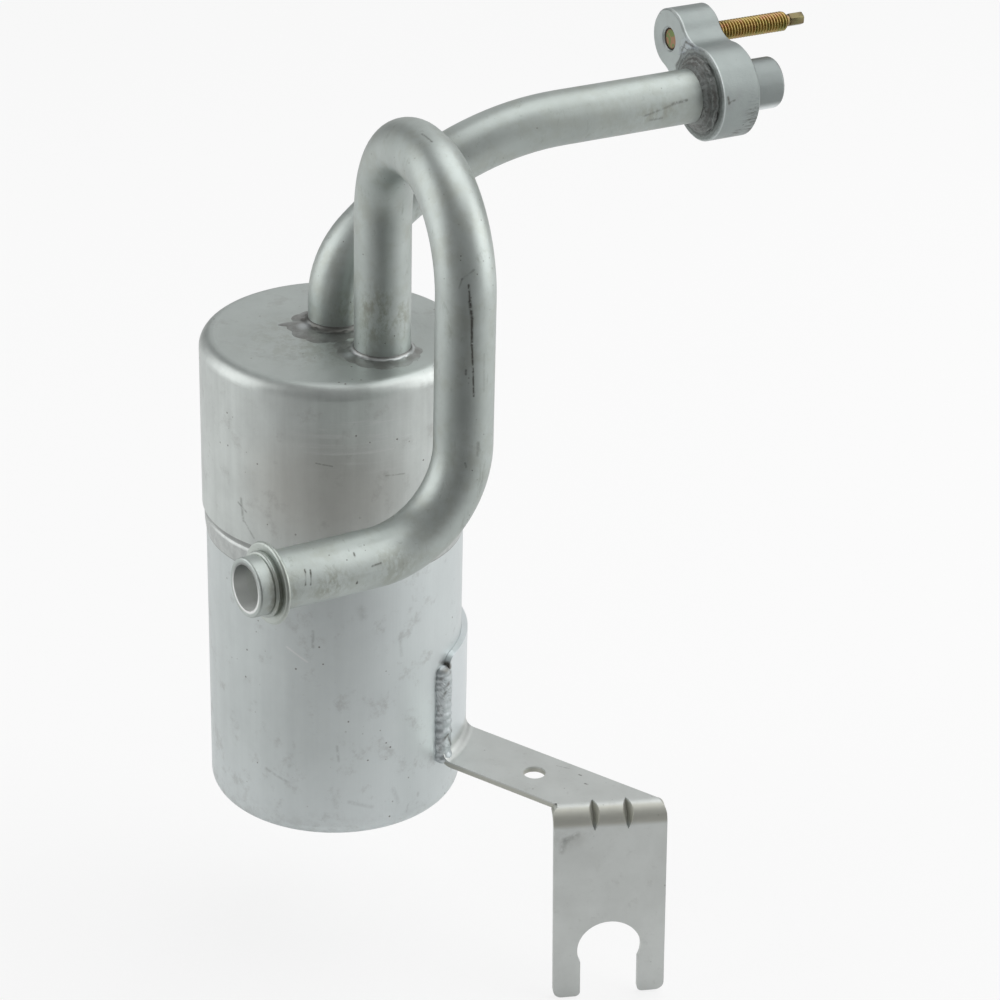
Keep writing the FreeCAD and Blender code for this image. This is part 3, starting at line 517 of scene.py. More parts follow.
def bead_metal(name):
    """Weld bead: bright smeared metal with a few slanted grooves in painted shade, dark nicks and a painted
    shadow in the pocket at its top.
    """
    graph = Graph(name, Metallic=0.92)
    lumps = graph.noise(0.5, 4.0, 0.6)
    speck = graph.noise(2.0, 4.0, 0.7)
    reach = graph.from_upright()
    wander = graph.noise(0.3, 2.0, 0.5)
    ripple = ((graph.z + reach * 1.6 + wander * 5.0) * 4.6).wave()
    fresh = graph.noise(0.16, 2.0, 0.5, offset=(2.0, 0.0, 5.0)).step(0.46, 0.6)
    graph.colour = graph.blend(lumps.step(0.35, 0.65), (0.45, 0.49, 0.5), (0.58, 0.62, 0.63))
    graph.paint(ripple.step(-0.6, -1.0) * fresh * 0.35, (0.2, 0.2, 0.19))
    # Painted shade along the grooves between the bead's ripples
    for start, end, width in GROOVE_SHADES:
        graph.paint(graph.stroke(start, end, width) * 0.8, (0.15, 0.145, 0.13))
    # Painted shadow in the pocket at the bead's top, under the saddle's corner
    graph.paint(graph.spot((32.3, -19.2, 46.9), (2.4, 2.4, 1.3), 0.6) * 0.9, (0.09, 0.08, 0.06))
    graph.paint(speck.step(0.62, 0.78) * 0.25, (0.2, 0.19, 0.18))
    height = lumps * 0.5 + speck * 0.2 + ripple * fresh * 0.25
    return graph.finish(0.38 + speck * 0.18, height, 0.12)


def bracket_metal(name, settings):
    """Pressed sheet: even satin with small scratches, spots and a scuff under the rolled edge, with painted
    light on the saddle and painted shade in the pocket above the front bead.
    """
    graph = Graph(name, Metallic=0.9)
    clouds = graph.noise(0.06, 4.0, 0.6)
    speck = graph.noise(1.5, 5.0, 0.65)
    roll = graph.noise(1.4, 2.0, 0.5, stretch=(0.12, 0.12, 1.0))
    dirt = graph.noise(0.22, 6.0, 0.72).step(0.56, 0.7)
    pits = graph.pits(0.3, (0.1, 0.04), (0.1, 0.5, 0.58), (5.0, 2.0, 1.0))
    tone = clouds.step(0.3, 0.7) * 0.55 + speck * 0.45
    graph.colour = graph.blend(tone, settings.bracket_dark, settings.bracket_light)
    graph.paint(dirt * 0.25, (0.38, 0.385, 0.37))
    graph.paint(pits * 0.6, (0.2, 0.2, 0.19))
    # Painted light: the saddle above the roll is painted lighter than the plate
    graph.paint(graph.z.step(20.0, 23.5) * 0.7, (0.77, 0.82, 0.84))
    rolled = graph.z.step(11.8, 13.4) * graph.z.step(17.4, 16.8)
    graph.paint(rolled * 0.55, (0.47, 0.46, 0.385))
    rubbed = graph.spot((69.5, -48.0, 8.5), (9.0, 5.0, 5.0), 0.9)
    graph.paint(rubbed * graph.noise(0.3, 4.0, 0.65).step(0.3, 0.6) * 0.35, (0.34, 0.35, 0.33))
    # Painted shade in the pocket between the saddle's corner and the front bead
    pocket_shade = graph.spot((33.2, -18.3, 47.4), (1.9, 1.9, 2.1), 0.5)
    graph.paint(pocket_shade * 0.9, (0.08, 0.07, 0.05))
    graph.mark((
        ((67.7, -48.4, 4.5), (68.6, -48.3, 8.2), 1.6, 0.25),
        ((68.6, -48.3, 8.2), (72.0, -47.8, 9.9), 1.6, 0.25),
        ((72.5, -27.4, 17.5), (73.0, -27.8, 17.5), 0.5, 0.8),
        ((74.1, -32.2, 17.5), (74.8, -32.6, 17.5), 0.5, 0.8),
        ((66.0, -22.8, 17.5), (69.5, -24.2, 17.5), 0.35, 0.4)))
    return graph.finish(0.38 + speck * 0.14 + rolled * 0.08, speck * 0.5 + roll * 0.2 - pits * 0.4, 0.05)


def zinc_plate(name, settings):
    """Yellow chromate over zinc: dull gold with green and rose patches."""
    graph = Graph(name, Metallic=1.0)
    patch = graph.noise(0.3, 3.0, 0.6, warp=0.5)
    speck = graph.noise(2.5, 3.0, 0.6)
    stops = ((0.28, (0.2, 0.25, 0.09)), (0.43, (0.42, 0.33, 0.12)), (0.56, (0.4, 0.27, 0.11)),
             (0.7, (0.42, 0.18, 0.14)))
    ramp = graph.add("ShaderNodeValToRGB", {"stops": stops}, {0: patch})
    graph.colour = graph.blend(0.25, ramp.outputs[0], settings.zinc_gold)
    along, off_axis = graph.from_axis(STUD_START)
    head = along.step(1.2, 0.4)
    bloom = graph.noise(0.55, 1.0, 0.5, offset=(1.5, 0.5, 0.0))
    bloom = graph.blend(bloom.step(0.46, 0.56), (0.13, 0.2, 0.07), (0.3, 0.17, 0.1))
    graph.paint(head * 0.9, bloom)
    graph.paint(head * off_axis.step(2.4, 3.0) * 0.85, (0.09, 0.05, 0.03))
    graph.paint(along.step(39.8, 40.8) * 0.85, (0.13, 0.12, 0.07))
    groove = (along * math.tau).wave().step(0.3, -0.8) * along.step(13.2, 13.6) * along.step(40.0, 39.5)
    graph.paint(groove * 0.6, (0.08, 0.045, 0.02))
    return graph.finish(0.24 + speck * 0.14, speck, 0.03)


def moulded_plastic(name, colour):
    """Pale moulded plastic, slightly clouded."""
    graph = Graph(name)
    speck = graph.noise(2.0, 3.0, 0.6)
    clouds = graph.noise(0.12, 3.0, 0.6)
    graph.colour = graph.blend(clouds * 0.5, colour, tuple(0.86 * part for part in colour))
    return graph.finish(0.42 + speck * 0.15, speck, 0.04)


def felt_cloth(name):
    """Undyed felt with tangled fibres."""
    graph = Graph(name, Roughness=0.95)
    fibres = graph.noise(2.6, 5.0, 0.75, warp=0.8)
    clouds = graph.noise(0.15, 3.0, 0.6)
    tone = fibres.step(0.35, 0.65) * 0.7 + clouds * 0.3
    graph.colour = graph.blend(tone, (0.66, 0.63, 0.56), (0.86, 0.84, 0.78))
    return graph.finish(None, fibres, 0.5)


def inner_metal(name):
    """Plain aluminium of the pieces inside the can."""
    graph = Graph(name, Metallic=0.92)
    speck = graph.noise(1.2, 4.0, 0.6)
    clouds = graph.noise(0.08, 3.0, 0.6)
    graph.colour = graph.blend(clouds.step(0.3, 0.7), (0.5, 0.5, 0.5), (0.62, 0.62, 0.61))
    return graph.finish(0.32 + speck * 0.14, speck, 0.04)


def dress(node, material):
    """Puts a material in every slot of a CAD piece."""
    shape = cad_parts[node]
    if not shape.material_slots:
        raise RuntimeError("CAD node without a material slot: " + node)
    for place in shape.material_slots:
        place.material = material


def floor_material():
    """Pale matte floor: white to the camera, and to the metal it darkens towards the camera's side."""
    graph = Graph("pale_floor")
    path = graph.add("ShaderNodeLightPath")
    camera = Value(graph, path.outputs["Is Camera Ray"])
    front = graph.y.step(-70.0, -470.0) * abs(graph.x - 60.0).step(620.0, 200.0)
    shiny = Value(graph, path.outputs["Is Glossy Ray"]) * (1.0 - front)
    seen = graph.blend(front, grey(0.88), grey(0.12))
    matte = graph.add("ShaderNodeBsdfDiffuse", {}, {"Color": graph.blend(camera, seen, grey(0.86))})
    glow = graph.add("ShaderNodeEmission", {}, {"Color": grey(1.0)})
    mix = graph.add("ShaderNodeMixShader", {},
                    {0: camera * 0.8 + shiny * 0.25, 1: matte.outputs[0], 2: glow.outputs[0]})
    graph.tree.nodes.remove(graph.shader)
    graph.feed(graph.output, 0, mix.outputs[0])
    return graph.material


# Modelling helpers


def pick(*shapes):
    """Selects the shapes alone and makes the first one active."""
    if bpy.context.mode != "OBJECT":
        bpy.ops.object.mode_set(mode="OBJECT")
    bpy.ops.object.select_all(action="DESELECT")
    for shape in shapes:
        shape.select_set(True)
    if shapes:
        bpy.context.view_layer.objects.active = shapes[0]


def keep(shape, name, slot, material, *nodes):
    """Applies the place of a finished piece, names it and ties it to the frame."""
    pick(shape)
    bpy.ops.object.transform_apply(location=True, rotation=True, scale=True)
    shape.name = name
    shape.data.name = name
    shape.data.materials.clear()
    shape.data.materials.append(material)
    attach(shape, "root")
    if nodes:
        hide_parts(*nodes)
    return shape


def apply_modifiers(shape):
    for modifier in list(shape.modifiers):
        bpy.ops.object.modifier_apply(modifier=modifier.name)


def carve(shape, tool, operation="DIFFERENCE"):
    """Cuts a tool out of a shape, or keeps only what lies inside it, and takes the tool away."""
    cut = shape.modifiers.new("cut", "BOOLEAN")
    cut.operation = operation
    cut.object = tool
    pick(shape)
    apply_modifiers(shape)
    bpy.data.objects.remove(tool, do_unlink=True)


def merge(shapes):
    """Joins shapes into the first one."""
    pick(*shapes)
    bpy.ops.object.join()
    bpy.ops.object.transform_apply(location=True, rotation=True, scale=True)
    return shapes[0]


def copy_of(shape):
    pick(shape)
    bpy.ops.object.duplicate(linked=False)
    return bpy.context.active_object


def set_in(shape, place, turn=None, size=(1.0, 1.0, 1.0)):
    """Puts a shape at a place in millimetres, turned and stretched."""
    shape.rotation_mode = "QUATERNION"
    shape.location = Vector(place) * MM
    shape.rotation_quaternion = turn or Quaternion()
    shape.scale = size


def lathe(profile, steps=48):
    """Solid spun about the vertical from (radius, height) corners in millimetres.

    The corners run from axis to axis, or come back to the first one for a ring.
    """
    pick()
    bpy.ops.mesh.primitive_plane_add(size=MM)
    shape = bpy.context.active_object
    bpy.ops.object.mode_set(mode="EDIT")
    bpy.ops.mesh.merge(type="CENTER")
    at = Vector((0.0, 0.0, 0.0))
    for number, (radius, height) in enumerate(profile):
        corner = Vector((radius, 0.0, height)) * MM
        if number == 0:
            bpy.ops.transform.translate(value=corner - at)
        else:
            bpy.ops.mesh.extrude_region_move(TRANSFORM_OT_translate={"value": corner - at})
        at = corner
    bpy.ops.mesh.select_all(action="SELECT")
    bpy.ops.mesh.spin(steps=steps, angle=math.tau, center=(0.0, 0.0, 0.0), axis=(0.0, 0.0, 1.0))
    bpy.ops.mesh.select_all(action="SELECT")
    bpy.ops.mesh.remove_doubles(threshold=0.002 * MM)
    bpy.ops.mesh.normals_make_consistent(inside=False)
    bpy.ops.object.mode_set(mode="OBJECT")
    return shape


def melt(shape, voxel, passes, lumps=0.0, lump_size=1.0):
    """Runs overlapping lumps together into one skin, softens it and gives it uneven swells."""
    remesh = shape.modifiers.new("skin", "REMESH")
    remesh.mode = "VOXEL"
    remesh.voxel_size = voxel * MM
    smooth = shape.modifiers.new("soften", "SMOOTH")
    smooth.factor = 0.5
    smooth.iterations = passes
    if lumps > 0.0:
        swell = shape.modifiers.new("swell", "DISPLACE")
        swell.texture = bpy.data.textures.new(shape.name + "_swell", "CLOUDS")
        swell.texture.noise_scale = lump_size * MM
        swell.texture_coords = "LOCAL"
        swell.strength = lumps * MM
        swell.mid_level = 0.5
    apply_modifiers(shape)
    bpy.ops.object.shade_smooth()
    return shape


# Settings


def tone_of(name, piece, tone):
    """A colour that a user can change."""
    return FloatVectorProperty(name=name, description=name + " tone of " + piece, subtype="COLOR",
                               default=tone)


def length_of(name, description, millimetres):
    """A length that a user can change."""
    return FloatProperty(name=name, description=description, default=millimetres * MM, min=0.05 * MM,
                         unit="LENGTH")


def level_of(name, description, level):
    """A brightness that a user can change."""
    return FloatProperty(name=name, description=description, default=level, min=0.0)


class AccumulatorSettings(bpy.types.PropertyGroup):
    """Colours of the accumulator."""

    shell_light: tone_of("Light", "the can", (0.65, 0.688, 0.668))
    shell_dark: tone_of("Dark", "the can", (0.465, 0.492, 0.477))
    tube_light: tone_of("Light", "the tubes", (0.53, 0.578, 0.558))
    tube_dark: tone_of("Dark", "the tubes", (0.39, 0.425, 0.405))
    block_light: tone_of("Light", "the block", (0.45, 0.495, 0.483))
    block_dark: tone_of("Dark", "the block", (0.345, 0.38, 0.371))
    bracket_light: tone_of("Light", "the bracket", (0.63, 0.655, 0.64))
    bracket_dark: tone_of("Dark", "the bracket", (0.53, 0.55, 0.535))
    zinc_gold: tone_of("Gold", "the stud's plating", (0.46, 0.36, 0.14))


class StudSettings(bpy.types.PropertyGroup):
    """The threaded stud, in metres."""

    pitch: length_of("Pitch", "Pitch of the metric thread", 1.0)
    crest: length_of("Crest radius", "Outer radius of the thread", 2.95)
    root: length_of("Root radius", "Radius of the thread's core", 2.36)
    flats: length_of("Across flats", "Width of the hexagonal driving tip", 3.6)


class JointSettings(bpy.types.PropertyGroup):
    """The brazed and welded joints."""

    ripples: IntProperty(name="Ripples", description="Number of ripples in each of the bracket's beads",
                         default=19, min=2)
    ripple_tilt: FloatProperty(name="Ripple tilt", description="How far the ripples lean up and out",
                               subtype="ANGLE", default=math.radians(32.0))
    lumps: IntProperty(name="Lumps", description="Number of lumps round each brazed joint", default=14, min=3)
    skin: length_of("Skin", "Cell of the skin over the melted metal", 0.22)
    seed: IntProperty(name="Seed", description="Scatter of the lumps in the brazed joints", default=4)


class StageSettings(bpy.types.PropertyGroup):
    """Floor, light and camera of the studio stage."""

    world_level: level_of("World level", "Strength of the even light all round", 0.28)
    top_level: level_of("Top level", "Brightness of the soft box overhead", 1.65)
    left_level: level_of("Left level", "Brightness of the panel on the left", 1.5)
    right_level: level_of("Right level", "Brightness of the panel on the right", 1.9)
    back_level: level_of("Back level", "Brightness of the panel behind", 0.38)
    lens: FloatProperty(name="Lens", description="Focal length of the camera in millimetres", default=115.2,
                        min=10.0)


# Operators


class StageOperator(bpy.types.Operator):
    """Lays the floor, hangs the soft boxes and sets the camera"""

    bl_idname = "accumulator.stage"
    bl_label = "Studio Stage"

    def execute(self, context):
        settings = context.scene.stage_settings
        pick()
        bpy.ops.mesh.primitive_plane_add(size=6.0, location=(0.0, 0.0, cad_low.z - 0.2 * MM))
        floor = context.active_object
        floor.name = "floor"
        floor.data.materials.append(floor_material())

        world = bpy.data.worlds.new("studio")
        context.scene.world = world
        world.use_nodes = True
        studio = NodeTree(world.node_tree)
        path = studio.add("ShaderNodeLightPath")
        even = studio.add("ShaderNodeBackground", {}, {"Color": grey(1.0), "Strength": settings.world_level})
        white = studio.add("ShaderNodeBackground", {}, {"Color": grey(1.0), "Strength": 1.0})
        seen = studio.add("ShaderNodeMixShader", {},
                          {0: path.outputs["Is Camera Ray"], 1: even.outputs[0], 2: white.outputs[0]})
        studio.add("ShaderNodeOutputWorld", {}, {0: seen.outputs[0]})

        for name, place, size in LAMPS:
            bpy.ops.object.light_add(type="AREA", location=place)
            lamp = context.active_object
            lamp.name = name
            lamp.data.shape = "SQUARE"
            lamp.data.size = size
            lamp.data.energy = getattr(settings, name + "_level") * math.pi * size * size
            lamp.rotation_euler = (LAMP_AIM - Vector(place)).to_track_quat("-Z", "Y").to_euler()

        forward = Vector((0.0, math.cos(CAMERA_PITCH), -math.sin(CAMERA_PITCH)))
        down = Vector((0.0, -math.sin(CAMERA_PITCH), -math.cos(CAMERA_PITCH)))
        right = Vector((1.0, 0.0, 0.0))
        across = right * math.cos(CAMERA_ROLL) + down * math.sin(CAMERA_ROLL)
        below = down * math.cos(CAMERA_ROLL) - right * math.sin(CAMERA_ROLL)
        turn = Matrix((across, -below, -forward)).transposed().to_4x4()
        turn.translation = CAMERA_PLACE
        bpy.ops.object.camera_add()
        camera = context.active_object
        camera.matrix_world = turn
        camera.data.sensor_width = 36.0
        camera.data.lens = settings.lens
        camera.data.clip_start = 0.01
        camera.data.clip_end = 20.0
        context.scene.camera = camera
        context.scene.view_settings.view_transform = "Standard"
        return {"FINISHED"}


class CanisterOperator(bpy.types.Operator):
    """Finishes the two drawn shells and the weld between them"""

    bl_idname = "accumulator.canister"
    bl_label = "Canister"

    def execute(self, context):
        settings = context.scene.accumulator_settings
        dress("upper_shell", shell_metal("upper_shell_metal", settings, True))
        dress("lower_shell", shell_metal("lower_shell_metal", settings, False))
        dress("girth_weld", weld_metal("girth_weld_metal"))
        return {"FINISHED"}


class PipesOperator(bpy.types.Operator):
    """Finishes the inlet and outlet pipes"""

    bl_idname = "accumulator.pipes"
    bl_label = "Pipes"

    def execute(self, context):
        settings = context.scene.accumulator_settings
        outlet_marks = (
            ((25.2, -43.1, 220.1), (27.9, -47.7, 219.8), 0.5, 0.7),
            ((-1.8, -102.3, 123.6), (-1.7, -103.9, 120.2), 0.5, 1.8),
            ((-0.4, -101.8, 123.3), (-0.4, -103.1, 119.8), 0.45, 1.5),
            ((10.2, -92.8, 124.5), (11.1, -95.2, 116.0), 0.5, 1.4),
            ((7.2, -89.6, 125.8), (8.9, -92.9, 124.3), 0.3, 0.5),
            ((14.9, -92.4, 119.8), (17.1, -90.7, 119.9), 0.45, 0.8),
            ((8.2, -16.5, 185.8), (19.5, -17.0, 185.8), 0.5, 0.3),
            ((8.2, -16.5, 179.1), (19.5, -17.0, 179.1), 0.5, 0.25),
            ((38.3, -74.4, 191.6), (38.7, -74.9, 187.2), 0.5, 1.0),
            ((38.7, -74.9, 187.2), (39.3, -74.9, 182.6), 0.75, 1.1),
            ((39.3, -74.9, 182.6), (39.4, -74.9, 175.2), 0.55, 1.3),
            ((39.4, -74.9, 175.2), (39.8, -74.7, 167.6), 0.5, 1.1),
            ((39.8, -74.7, 167.6), (40.1, -74.6, 160.7), 0.45, 1.2),
            ((35.9, -74.4, 190.7), (36.6, -74.1, 193.1), 0.4, 0.5),
            ((36.6, -74.1, 193.1), (39.6, -73.2, 195.3), 0.5, 0.4),
            ((38.0, -75.0, 168.2), (38.0, -75.0, 167.0), 0.5, 0.8),
            ((42.6, -73.3, 172.0), (42.7, -73.2, 161.5), 0.6, 0.2),
            ((38.2, -75.2, 141.6), (38.5, -75.1, 140.5), 0.45, 0.6),
            ((41.5, -74.0, 147.0), (41.5, -74.0, 143.5), 0.8, 0.4),
            ((-8.7, -109.3, 121.4), (-10.0, -109.9, 115.9), 1.3, 0.3),
            ((-7.1, -106.4, 124.2), (-6.5, -108.1, 117.9), 0.9, 0.25),
            ((-12.1, -111.0, 122.3), (-13.7, -111.7, 116.2), 1.4, 0.25))
        outlet_stains = (
            ((12.0, -19.0, 158.0), (10.0, 4.0, 13.0), 0.75),
            ((20.0, -16.6, 156.0), (4.0, 4.0, 9.0), 0.7),
            ((-8.0, -107.0, 119.0), (7.0, 7.0, 9.0), 0.75),
            ((3.0, -98.0, 118.0), (11.0, 9.0, 6.0), 0.7),
            ((20.0, -88.0, 118.0), (12.0, 8.0, 7.0), 0.5))
        inlet_marks = (
            ((86.4, 46.0, 193.8), (94.2, 50.6, 195.6), 0.6, 0.5),
            ((94.2, 50.6, 195.9), (98.6, 53.0, 196.3), 0.7, 0.7),
            ((88.0, 47.2, 192.1), (91.5, 49.1, 192.1), 0.7, 0.4))
        inlet_stains = (
            ((90.0, 48.0, 194.0), (12.0, 7.0, 4.0), 0.5),
            # A faint stain that is also painted shade, darkening the inlet's level run
            ((84.0, 48.0, 194.0), (40.0, 30.0, 20.0), 0.18),
            ((3.0, 1.0, 152.0), (6.0, 5.0, 7.0), 0.6))
        bore = (NOSE_MOUTH + NOSE_WAY * 2.0, NOSE_MOUTH - NOSE_WAY * 26.0)
        dress("outlet_tube", tube_metal("outlet_pipe_metal", settings, outlet_marks, outlet_stains, bore))
        dress("inlet_tube", tube_metal("inlet_pipe_metal", settings, inlet_marks, inlet_stains, right_shade=0.3))
        return {"FINISHED"}


class BlockOperator(bpy.types.Operator):
    """Finishes the peanut block"""

    bl_idname = "accumulator.block"
    bl_label = "Inlet Block"

    def execute(self, context):
        settings = context.scene.accumulator_settings
        dress("inlet_block", block_metal("block_metal", settings))
        return {"FINISHED"}


class StudOperator(bpy.types.Operator):
    """Turns the stud: plain shank, screwed thread, neck and hexagonal tip"""

    bl_idname = "accumulator.stud"
    bl_label = "Threaded Stud"

    def execute(self, context):
        settings = context.scene.stud_settings
        pitch = settings.pitch / MM
        crest = settings.crest / MM
        root = settings.root / MM
        shank_end = 13.2
        thread_end = 40.0
        chamfer = 1.2
        neck_end = 41.0
        tip_end = 45.6
        core = lathe(((0.0, 0.0), (2.95, 0.0), (3.25, 0.3), (3.25, shank_end), (root, shank_end + 0.3),
                      (root, thread_end - chamfer / 2), (1.6, thread_end), (1.6, neck_end), (0.0, neck_end)))
        ridge = self.ridge(shank_end - pitch / 2, thread_end, root - 0.05, pitch)
        limit = lathe(((0.0, shank_end - pitch), (crest, shank_end - pitch), (crest, thread_end - chamfer),
                       (1.9, thread_end), (0.0, thread_end)), 96)
        carve(ridge, limit, "INTERSECT")
        corner = settings.flats / 2 / math.cos(math.radians(30.0))
        bpy.ops.mesh.primitive_cylinder_add(vertices=6, radius=corner, depth=(tip_end - neck_end + 0.2) * MM,
                                            location=(0.0, 0.0, (tip_end + neck_end - 0.2) / 2 * MM))
        tip = context.active_object
        edge = tip.modifiers.new("edge", "BEVEL")
        edge.width = 0.3 * MM
        edge.segments = 2
        apply_modifiers(tip)
        stud = merge([core, ridge, tip])
        bpy.ops.object.shade_smooth_by_angle(angle=math.radians(25.0))
        set_in(stud, STUD_START, UP.rotation_difference(INLET_WAY))
        material = zinc_plate("stud_plating", context.scene.accumulator_settings)
        keep(stud, "threaded_stud", "stud_zinc", material, "fixing_stud")
        return {"FINISHED"}

    def ridge(self, low, high, root, pitch):
        """Three-cornered section swept along the helix, its two ends closed."""
        pick()
        bpy.ops.mesh.primitive_circle_add(vertices=3, radius=1.0, fill_type="NOTHING")
        ridge = bpy.context.active_object
        wide = 0.98 * pitch / math.sqrt(3.0) * MM
        tall = 0.85 * pitch / 1.5 * MM
        stand = Matrix(((0.0, 1.0, 0.0), (0.0, 0.0, 1.0), (1.0, 0.0, 0.0))).to_4x4()
        stand.translation = Vector((root * MM + tall / 2, 0.0, low * MM))
        ridge.matrix_world = stand @ Matrix.Diagonal((wide, tall, 1.0, 1.0))
        bpy.ops.object.transform_apply(location=True, rotation=True, scale=True)
        screw = ridge.modifiers.new("helix", "SCREW")
        screw.axis = "Z"
        screw.steps = 32
        screw.render_steps = 32
        screw.screw_offset = pitch * MM
        screw.iterations = math.ceil((high - low) / pitch)
        screw.use_merge_vertices = False
        apply_modifiers(ridge)
        bpy.ops.object.mode_set(mode="EDIT")
        bpy.ops.mesh.select_all(action="SELECT")
        bpy.ops.mesh.fill_holes(sides=3)
        bpy.ops.mesh.select_all(action="SELECT")
        bpy.ops.mesh.normals_make_consistent(inside=False)
        bpy.ops.object.mode_set(mode="OBJECT")
        return ridge


class BrazesOperator(bpy.types.Operator):
    """Runs the lumpy rings of filler round the three brazed tube joints"""

    bl_idname = "accumulator.brazes"
    bl_label = "Brazed Joints"

    def execute(self, context):
        self.settings = context.scene.joint_settings
        self.dice = random.Random(self.settings.seed)
        inlet_pools = ((-165.0, 12.2, 4.6, 1.6), (-152.0, 10.6, 4.4, 4.2), (-130.0, 11.4, 4.8, 4.6),
                       (-108.0, 12.0, 4.8, 4.6), (-90.0, 11.0, 4.4, 4.4), (-70.0, 9.4, 3.8, 3.8),
                       (176.0, 9.0, 3.8, 3.6), (158.0, 8.6, 2.6, 3.0))
        outlet_pools = ((172.0, 10.2, 3.6, 3.4), (-160.0, 9.6, 3.6, 3.8), (-135.0, 9.2, 3.6, 4.0),
                        (-110.0, 9.8, 3.6, 4.0), (-85.0, 10.0, 3.7, 4.0), (-60.0, 9.6, 3.6, 4.0),
                        (-32.0, 8.8, 3.2, 3.6), (-5.0, 8.6, 2.8, 3.0))
        self.braze("inlet_filler", INLET_CENTRE, UP, 1.5, 1.9, inlet_pools, 0.0, "inlet_braze",
                   braze_metal("inlet_filler_metal", 0.24, INLET_CENTRE[:2], fade=0.15))
        self.braze("outlet_filler", OUTLET_CENTRE, UP, 1.2, 1.6, outlet_pools, 0.0, "outlet_braze",
                   braze_metal("outlet_filler_metal", 0.3, OUTLET_CENTRE[:2], rim_highlight=0.6, fade=0.2))
        self.braze("block_filler", BLOCK_FACE, -INLET_WAY, 3.2, 3.6, (), 1.0, "block_braze",
                   braze_metal("block_filler_metal", 0.19))
        return {"FINISHED"}

    def lump(self, place, turn, size):
        """A stretched ball of filler."""
        bpy.ops.mesh.primitive_uv_sphere_add(segments=24, ring_count=12, radius=MM)
        set_in(bpy.context.active_object, place, turn, size)
        return bpy.context.active_object

    def braze(self, name, centre, way, rise, spread, pools, crust, node, material):
        """A hollow fillet round a tube, with uneven lumps on it and flat pools beside it.

        pools are (bearing, reach, length, width); crust 1 gives coarse, high swells and 0 fine, low ones.
        """
        inner = 7.6
        sunk = 0.6
        foot = TUBE_RADIUS + spread
        stand = UP.rotation_difference(way)
        ring = lathe(((inner, -sunk), (foot, -sunk), (foot, 0.1), (TUBE_RADIUS + 0.5 * spread, 0.28 * rise),
                      (TUBE_RADIUS + 0.2 * spread, 0.62 * rise), (TUBE_RADIUS + 0.1, rise), (inner, rise),
                      (inner, -sunk)), 96)
        set_in(ring, centre, stand)
        shapes = [ring]
        lumps = self.settings.lumps
        for number in range(lumps):
            angle = math.tau * (number + self.dice.uniform(-0.4, 0.4)) / lumps
            reach = TUBE_RADIUS + spread * self.dice.uniform(0.3, 0.7)
            size = spread * self.dice.uniform(0.32, 0.5)
            place = Vector((math.cos(angle) * reach, math.sin(angle) * reach, 0.1 * rise))
            turn = stand @ Quaternion(UP, angle)
            shapes.append(self.lump(Vector(centre) + stand @ place, turn, (size, size * 1.7, 0.3 * rise)))
        for bearing, reach, length, width in pools:
            angle = math.radians(bearing)
            place = Vector(centre) + Vector((math.cos(angle), math.sin(angle), 0.0)) * reach - UP * 0.7
            shapes.append(self.lump(place, Quaternion(UP, angle), (length * 1.4, width * 1.4, 1.0)))
        filler = merge(shapes)
        melt(filler, self.settings.skin / MM, 4 + round(4 * crust), 0.06 + 0.2 * crust, 2.2 - 1.2 * crust)
        bpy.ops.mesh.primitive_cylinder_add(vertices=96, radius=inner * MM, depth=20.0 * MM)
        bore = bpy.context.active_object
        set_in(bore, centre, stand)
        carve(filler, bore)
        keep(filler, name, node + "_metal", material, node)


class BeadsOperator(bpy.types.Operator):
    """Lays the rippled weld beads down both edges of the bracket's saddle"""

    bl_idname = "accumulator.beads"
    bl_label = "Weld Beads"

    def execute(self, context):
        settings = context.scene.joint_settings
        for name, bearing, side, slot, node in (
                ("front_bead", -29.7, -1.0, "front_weld_metal", "bracket_weld_front"),
                ("rear_bead", 32.7, 1.0, "rear_weld_metal", "bracket_weld_rear")):
            angle = math.radians(bearing)
            out = Vector((math.cos(angle), math.sin(angle), 0.0))
            low = 17.9
            high = 45.6
            ridge_place = out * 37.0
            foot_place = out * 37.7 + UP * 17.6
            crater_place = out * 40.5 + UP * 16.1
            pick()
            bpy.ops.mesh.primitive_uv_sphere_add(segments=28, ring_count=16, radius=MM)
            ripple = bpy.context.active_object
            shapes = []
            dice = random.Random(settings.seed)
            for number in range(settings.ripples):
                share = number / (settings.ripples - 1)
                shape = copy_of(ripple)
                lean = Quaternion((0.0, 1.0, 0.0), -settings.ripple_tilt)
                slant = Quaternion((1.0, 0.0, 0.0), side * (0.25 + dice.uniform(-0.15, 0.15)))
                size = 1.0 + dice.uniform(-0.09, 0.09)
                height = low + (high - low) * share + dice.uniform(-0.35, 0.35)
                set_in(shape, ridge_place + UP * height, Quaternion(UP, angle) @ slant @ lean,
                       (2.6 * size, 3.6 * size, 2.3))
                shapes.append(shape)
            bpy.data.objects.remove(ripple, do_unlink=True)
            foot = copy_of(shapes[0])
            set_in(foot, foot_place, Quaternion(UP, angle), (2.5, 3.0, 2.2))
            bead = merge(shapes + [foot])
            melt(bead, settings.skin / MM, 7, 0.16, 2.8)
            bpy.ops.mesh.primitive_uv_sphere_add(segments=32, ring_count=16, radius=1.5 * MM)
            crater = context.active_object
            set_in(crater, crater_place)
            carve(bead, crater)
            keep(bead, name, slot, bead_metal(name + "_metal"), node)
        return {"FINISHED"}


class BracketOperator(bpy.types.Operator):
    """Finishes the pressed mounting bracket"""

    bl_idname = "accumulator.bracket"
    bl_label = "Mounting Bracket"

    def execute(self, context):
        dress("mounting_bracket", bracket_metal("bracket_metal", context.scene.accumulator_settings))
        return {"FINISHED"}


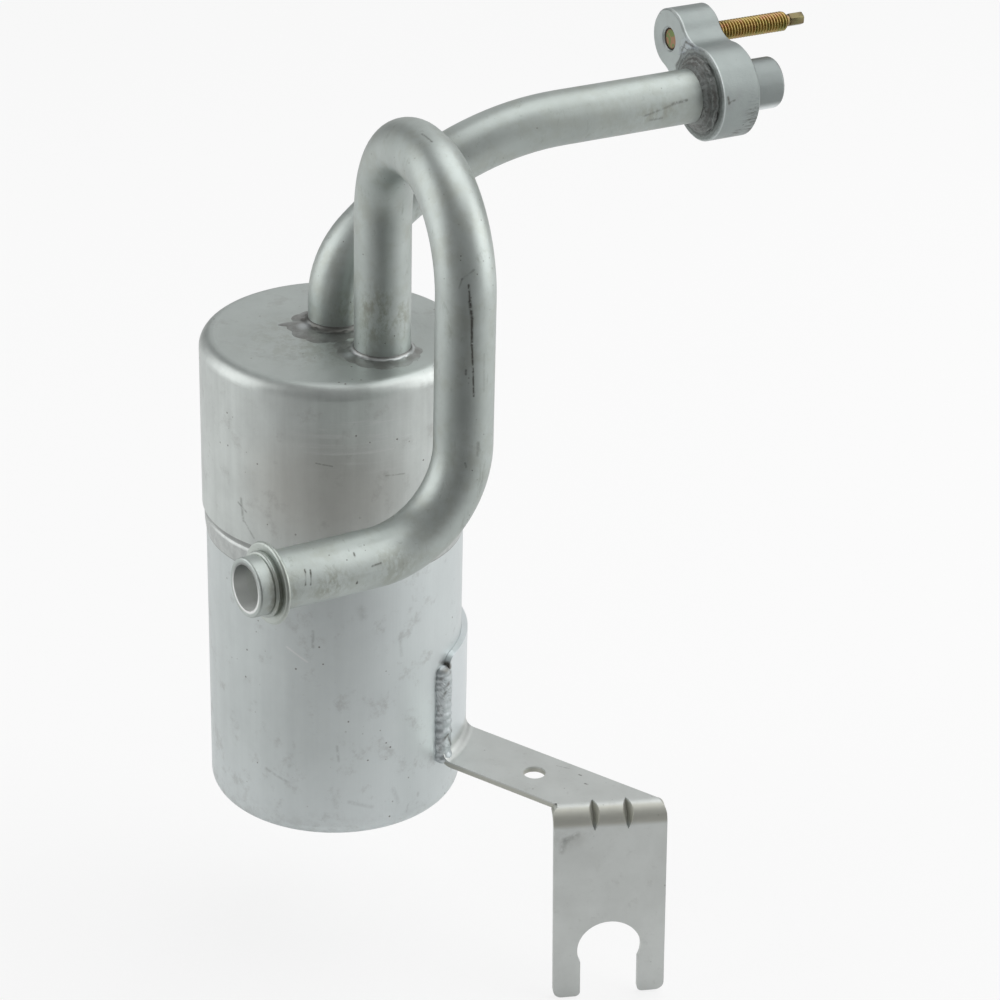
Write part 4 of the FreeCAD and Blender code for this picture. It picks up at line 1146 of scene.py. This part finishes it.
class InnerPartsOperator(bpy.types.Operator):
    """Finishes the pieces inside the canister"""

    bl_idname = "accumulator.inner_parts"
    bl_label = "Inner Parts"

    def execute(self, context):
        dress("pickup_tube", inner_metal("pickup_tube_metal"))
        dress("baffle_cap", inner_metal("baffle_metal"))
        dress("filter_housing", moulded_plastic("filter_housing_plastic", (0.82, 0.81, 0.76)))
        dress("filter_cap", moulded_plastic("filter_cap_plastic", (0.82, 0.81, 0.76)))
        dress("filter_screen", moulded_plastic("filter_mesh", (0.7, 0.72, 0.68)))
        dress("desiccant_bag_near", felt_cloth("near_bag_felt"))
        dress("desiccant_bag_far", felt_cloth("far_bag_felt"))
        dress("bag_strap", moulded_plastic("strap_plastic", (0.84, 0.83, 0.8)))
        return {"FINISHED"}


OPERATORS = (StageOperator, CanisterOperator, PipesOperator, BlockOperator, StudOperator, BrazesOperator,
             BeadsOperator, BracketOperator, InnerPartsOperator)
SETTINGS = {"accumulator_settings": AccumulatorSettings, "stud_settings": StudSettings,
            "joint_settings": JointSettings, "stage_settings": StageSettings}


class AccumulatorPanel(bpy.types.Panel):
    """Lists the accumulator's pieces and its stage"""

    bl_idname = "VIEW3D_PT_accumulator"
    bl_label = "Accumulator"
    bl_space_type = "VIEW_3D"
    bl_region_type = "UI"
    bl_category = "Accumulator"

    def draw(self, context):
        for operator in OPERATORS:
            self.layout.operator(operator.bl_idname)


CLASSES = (*SETTINGS.values(), *OPERATORS, AccumulatorPanel)


def register():
    for item in CLASSES:
        bpy.utils.register_class(item)
    for name, group in SETTINGS.items():
        setattr(bpy.types.Scene, name, PointerProperty(type=group))


def unregister():
    for name in SETTINGS:
        delattr(bpy.types.Scene, name)
    for item in reversed(CLASSES):
        bpy.utils.unregister_class(item)


def main():
    register()
    bpy.ops.accumulator.stage()
    bpy.ops.accumulator.canister()
    bpy.ops.accumulator.pipes()
    bpy.ops.accumulator.block()
    bpy.ops.accumulator.stud()
    bpy.ops.accumulator.brazes()
    bpy.ops.accumulator.beads()
    bpy.ops.accumulator.bracket()
    bpy.ops.accumulator.inner_parts()


if __name__ == "__main__":
    main()
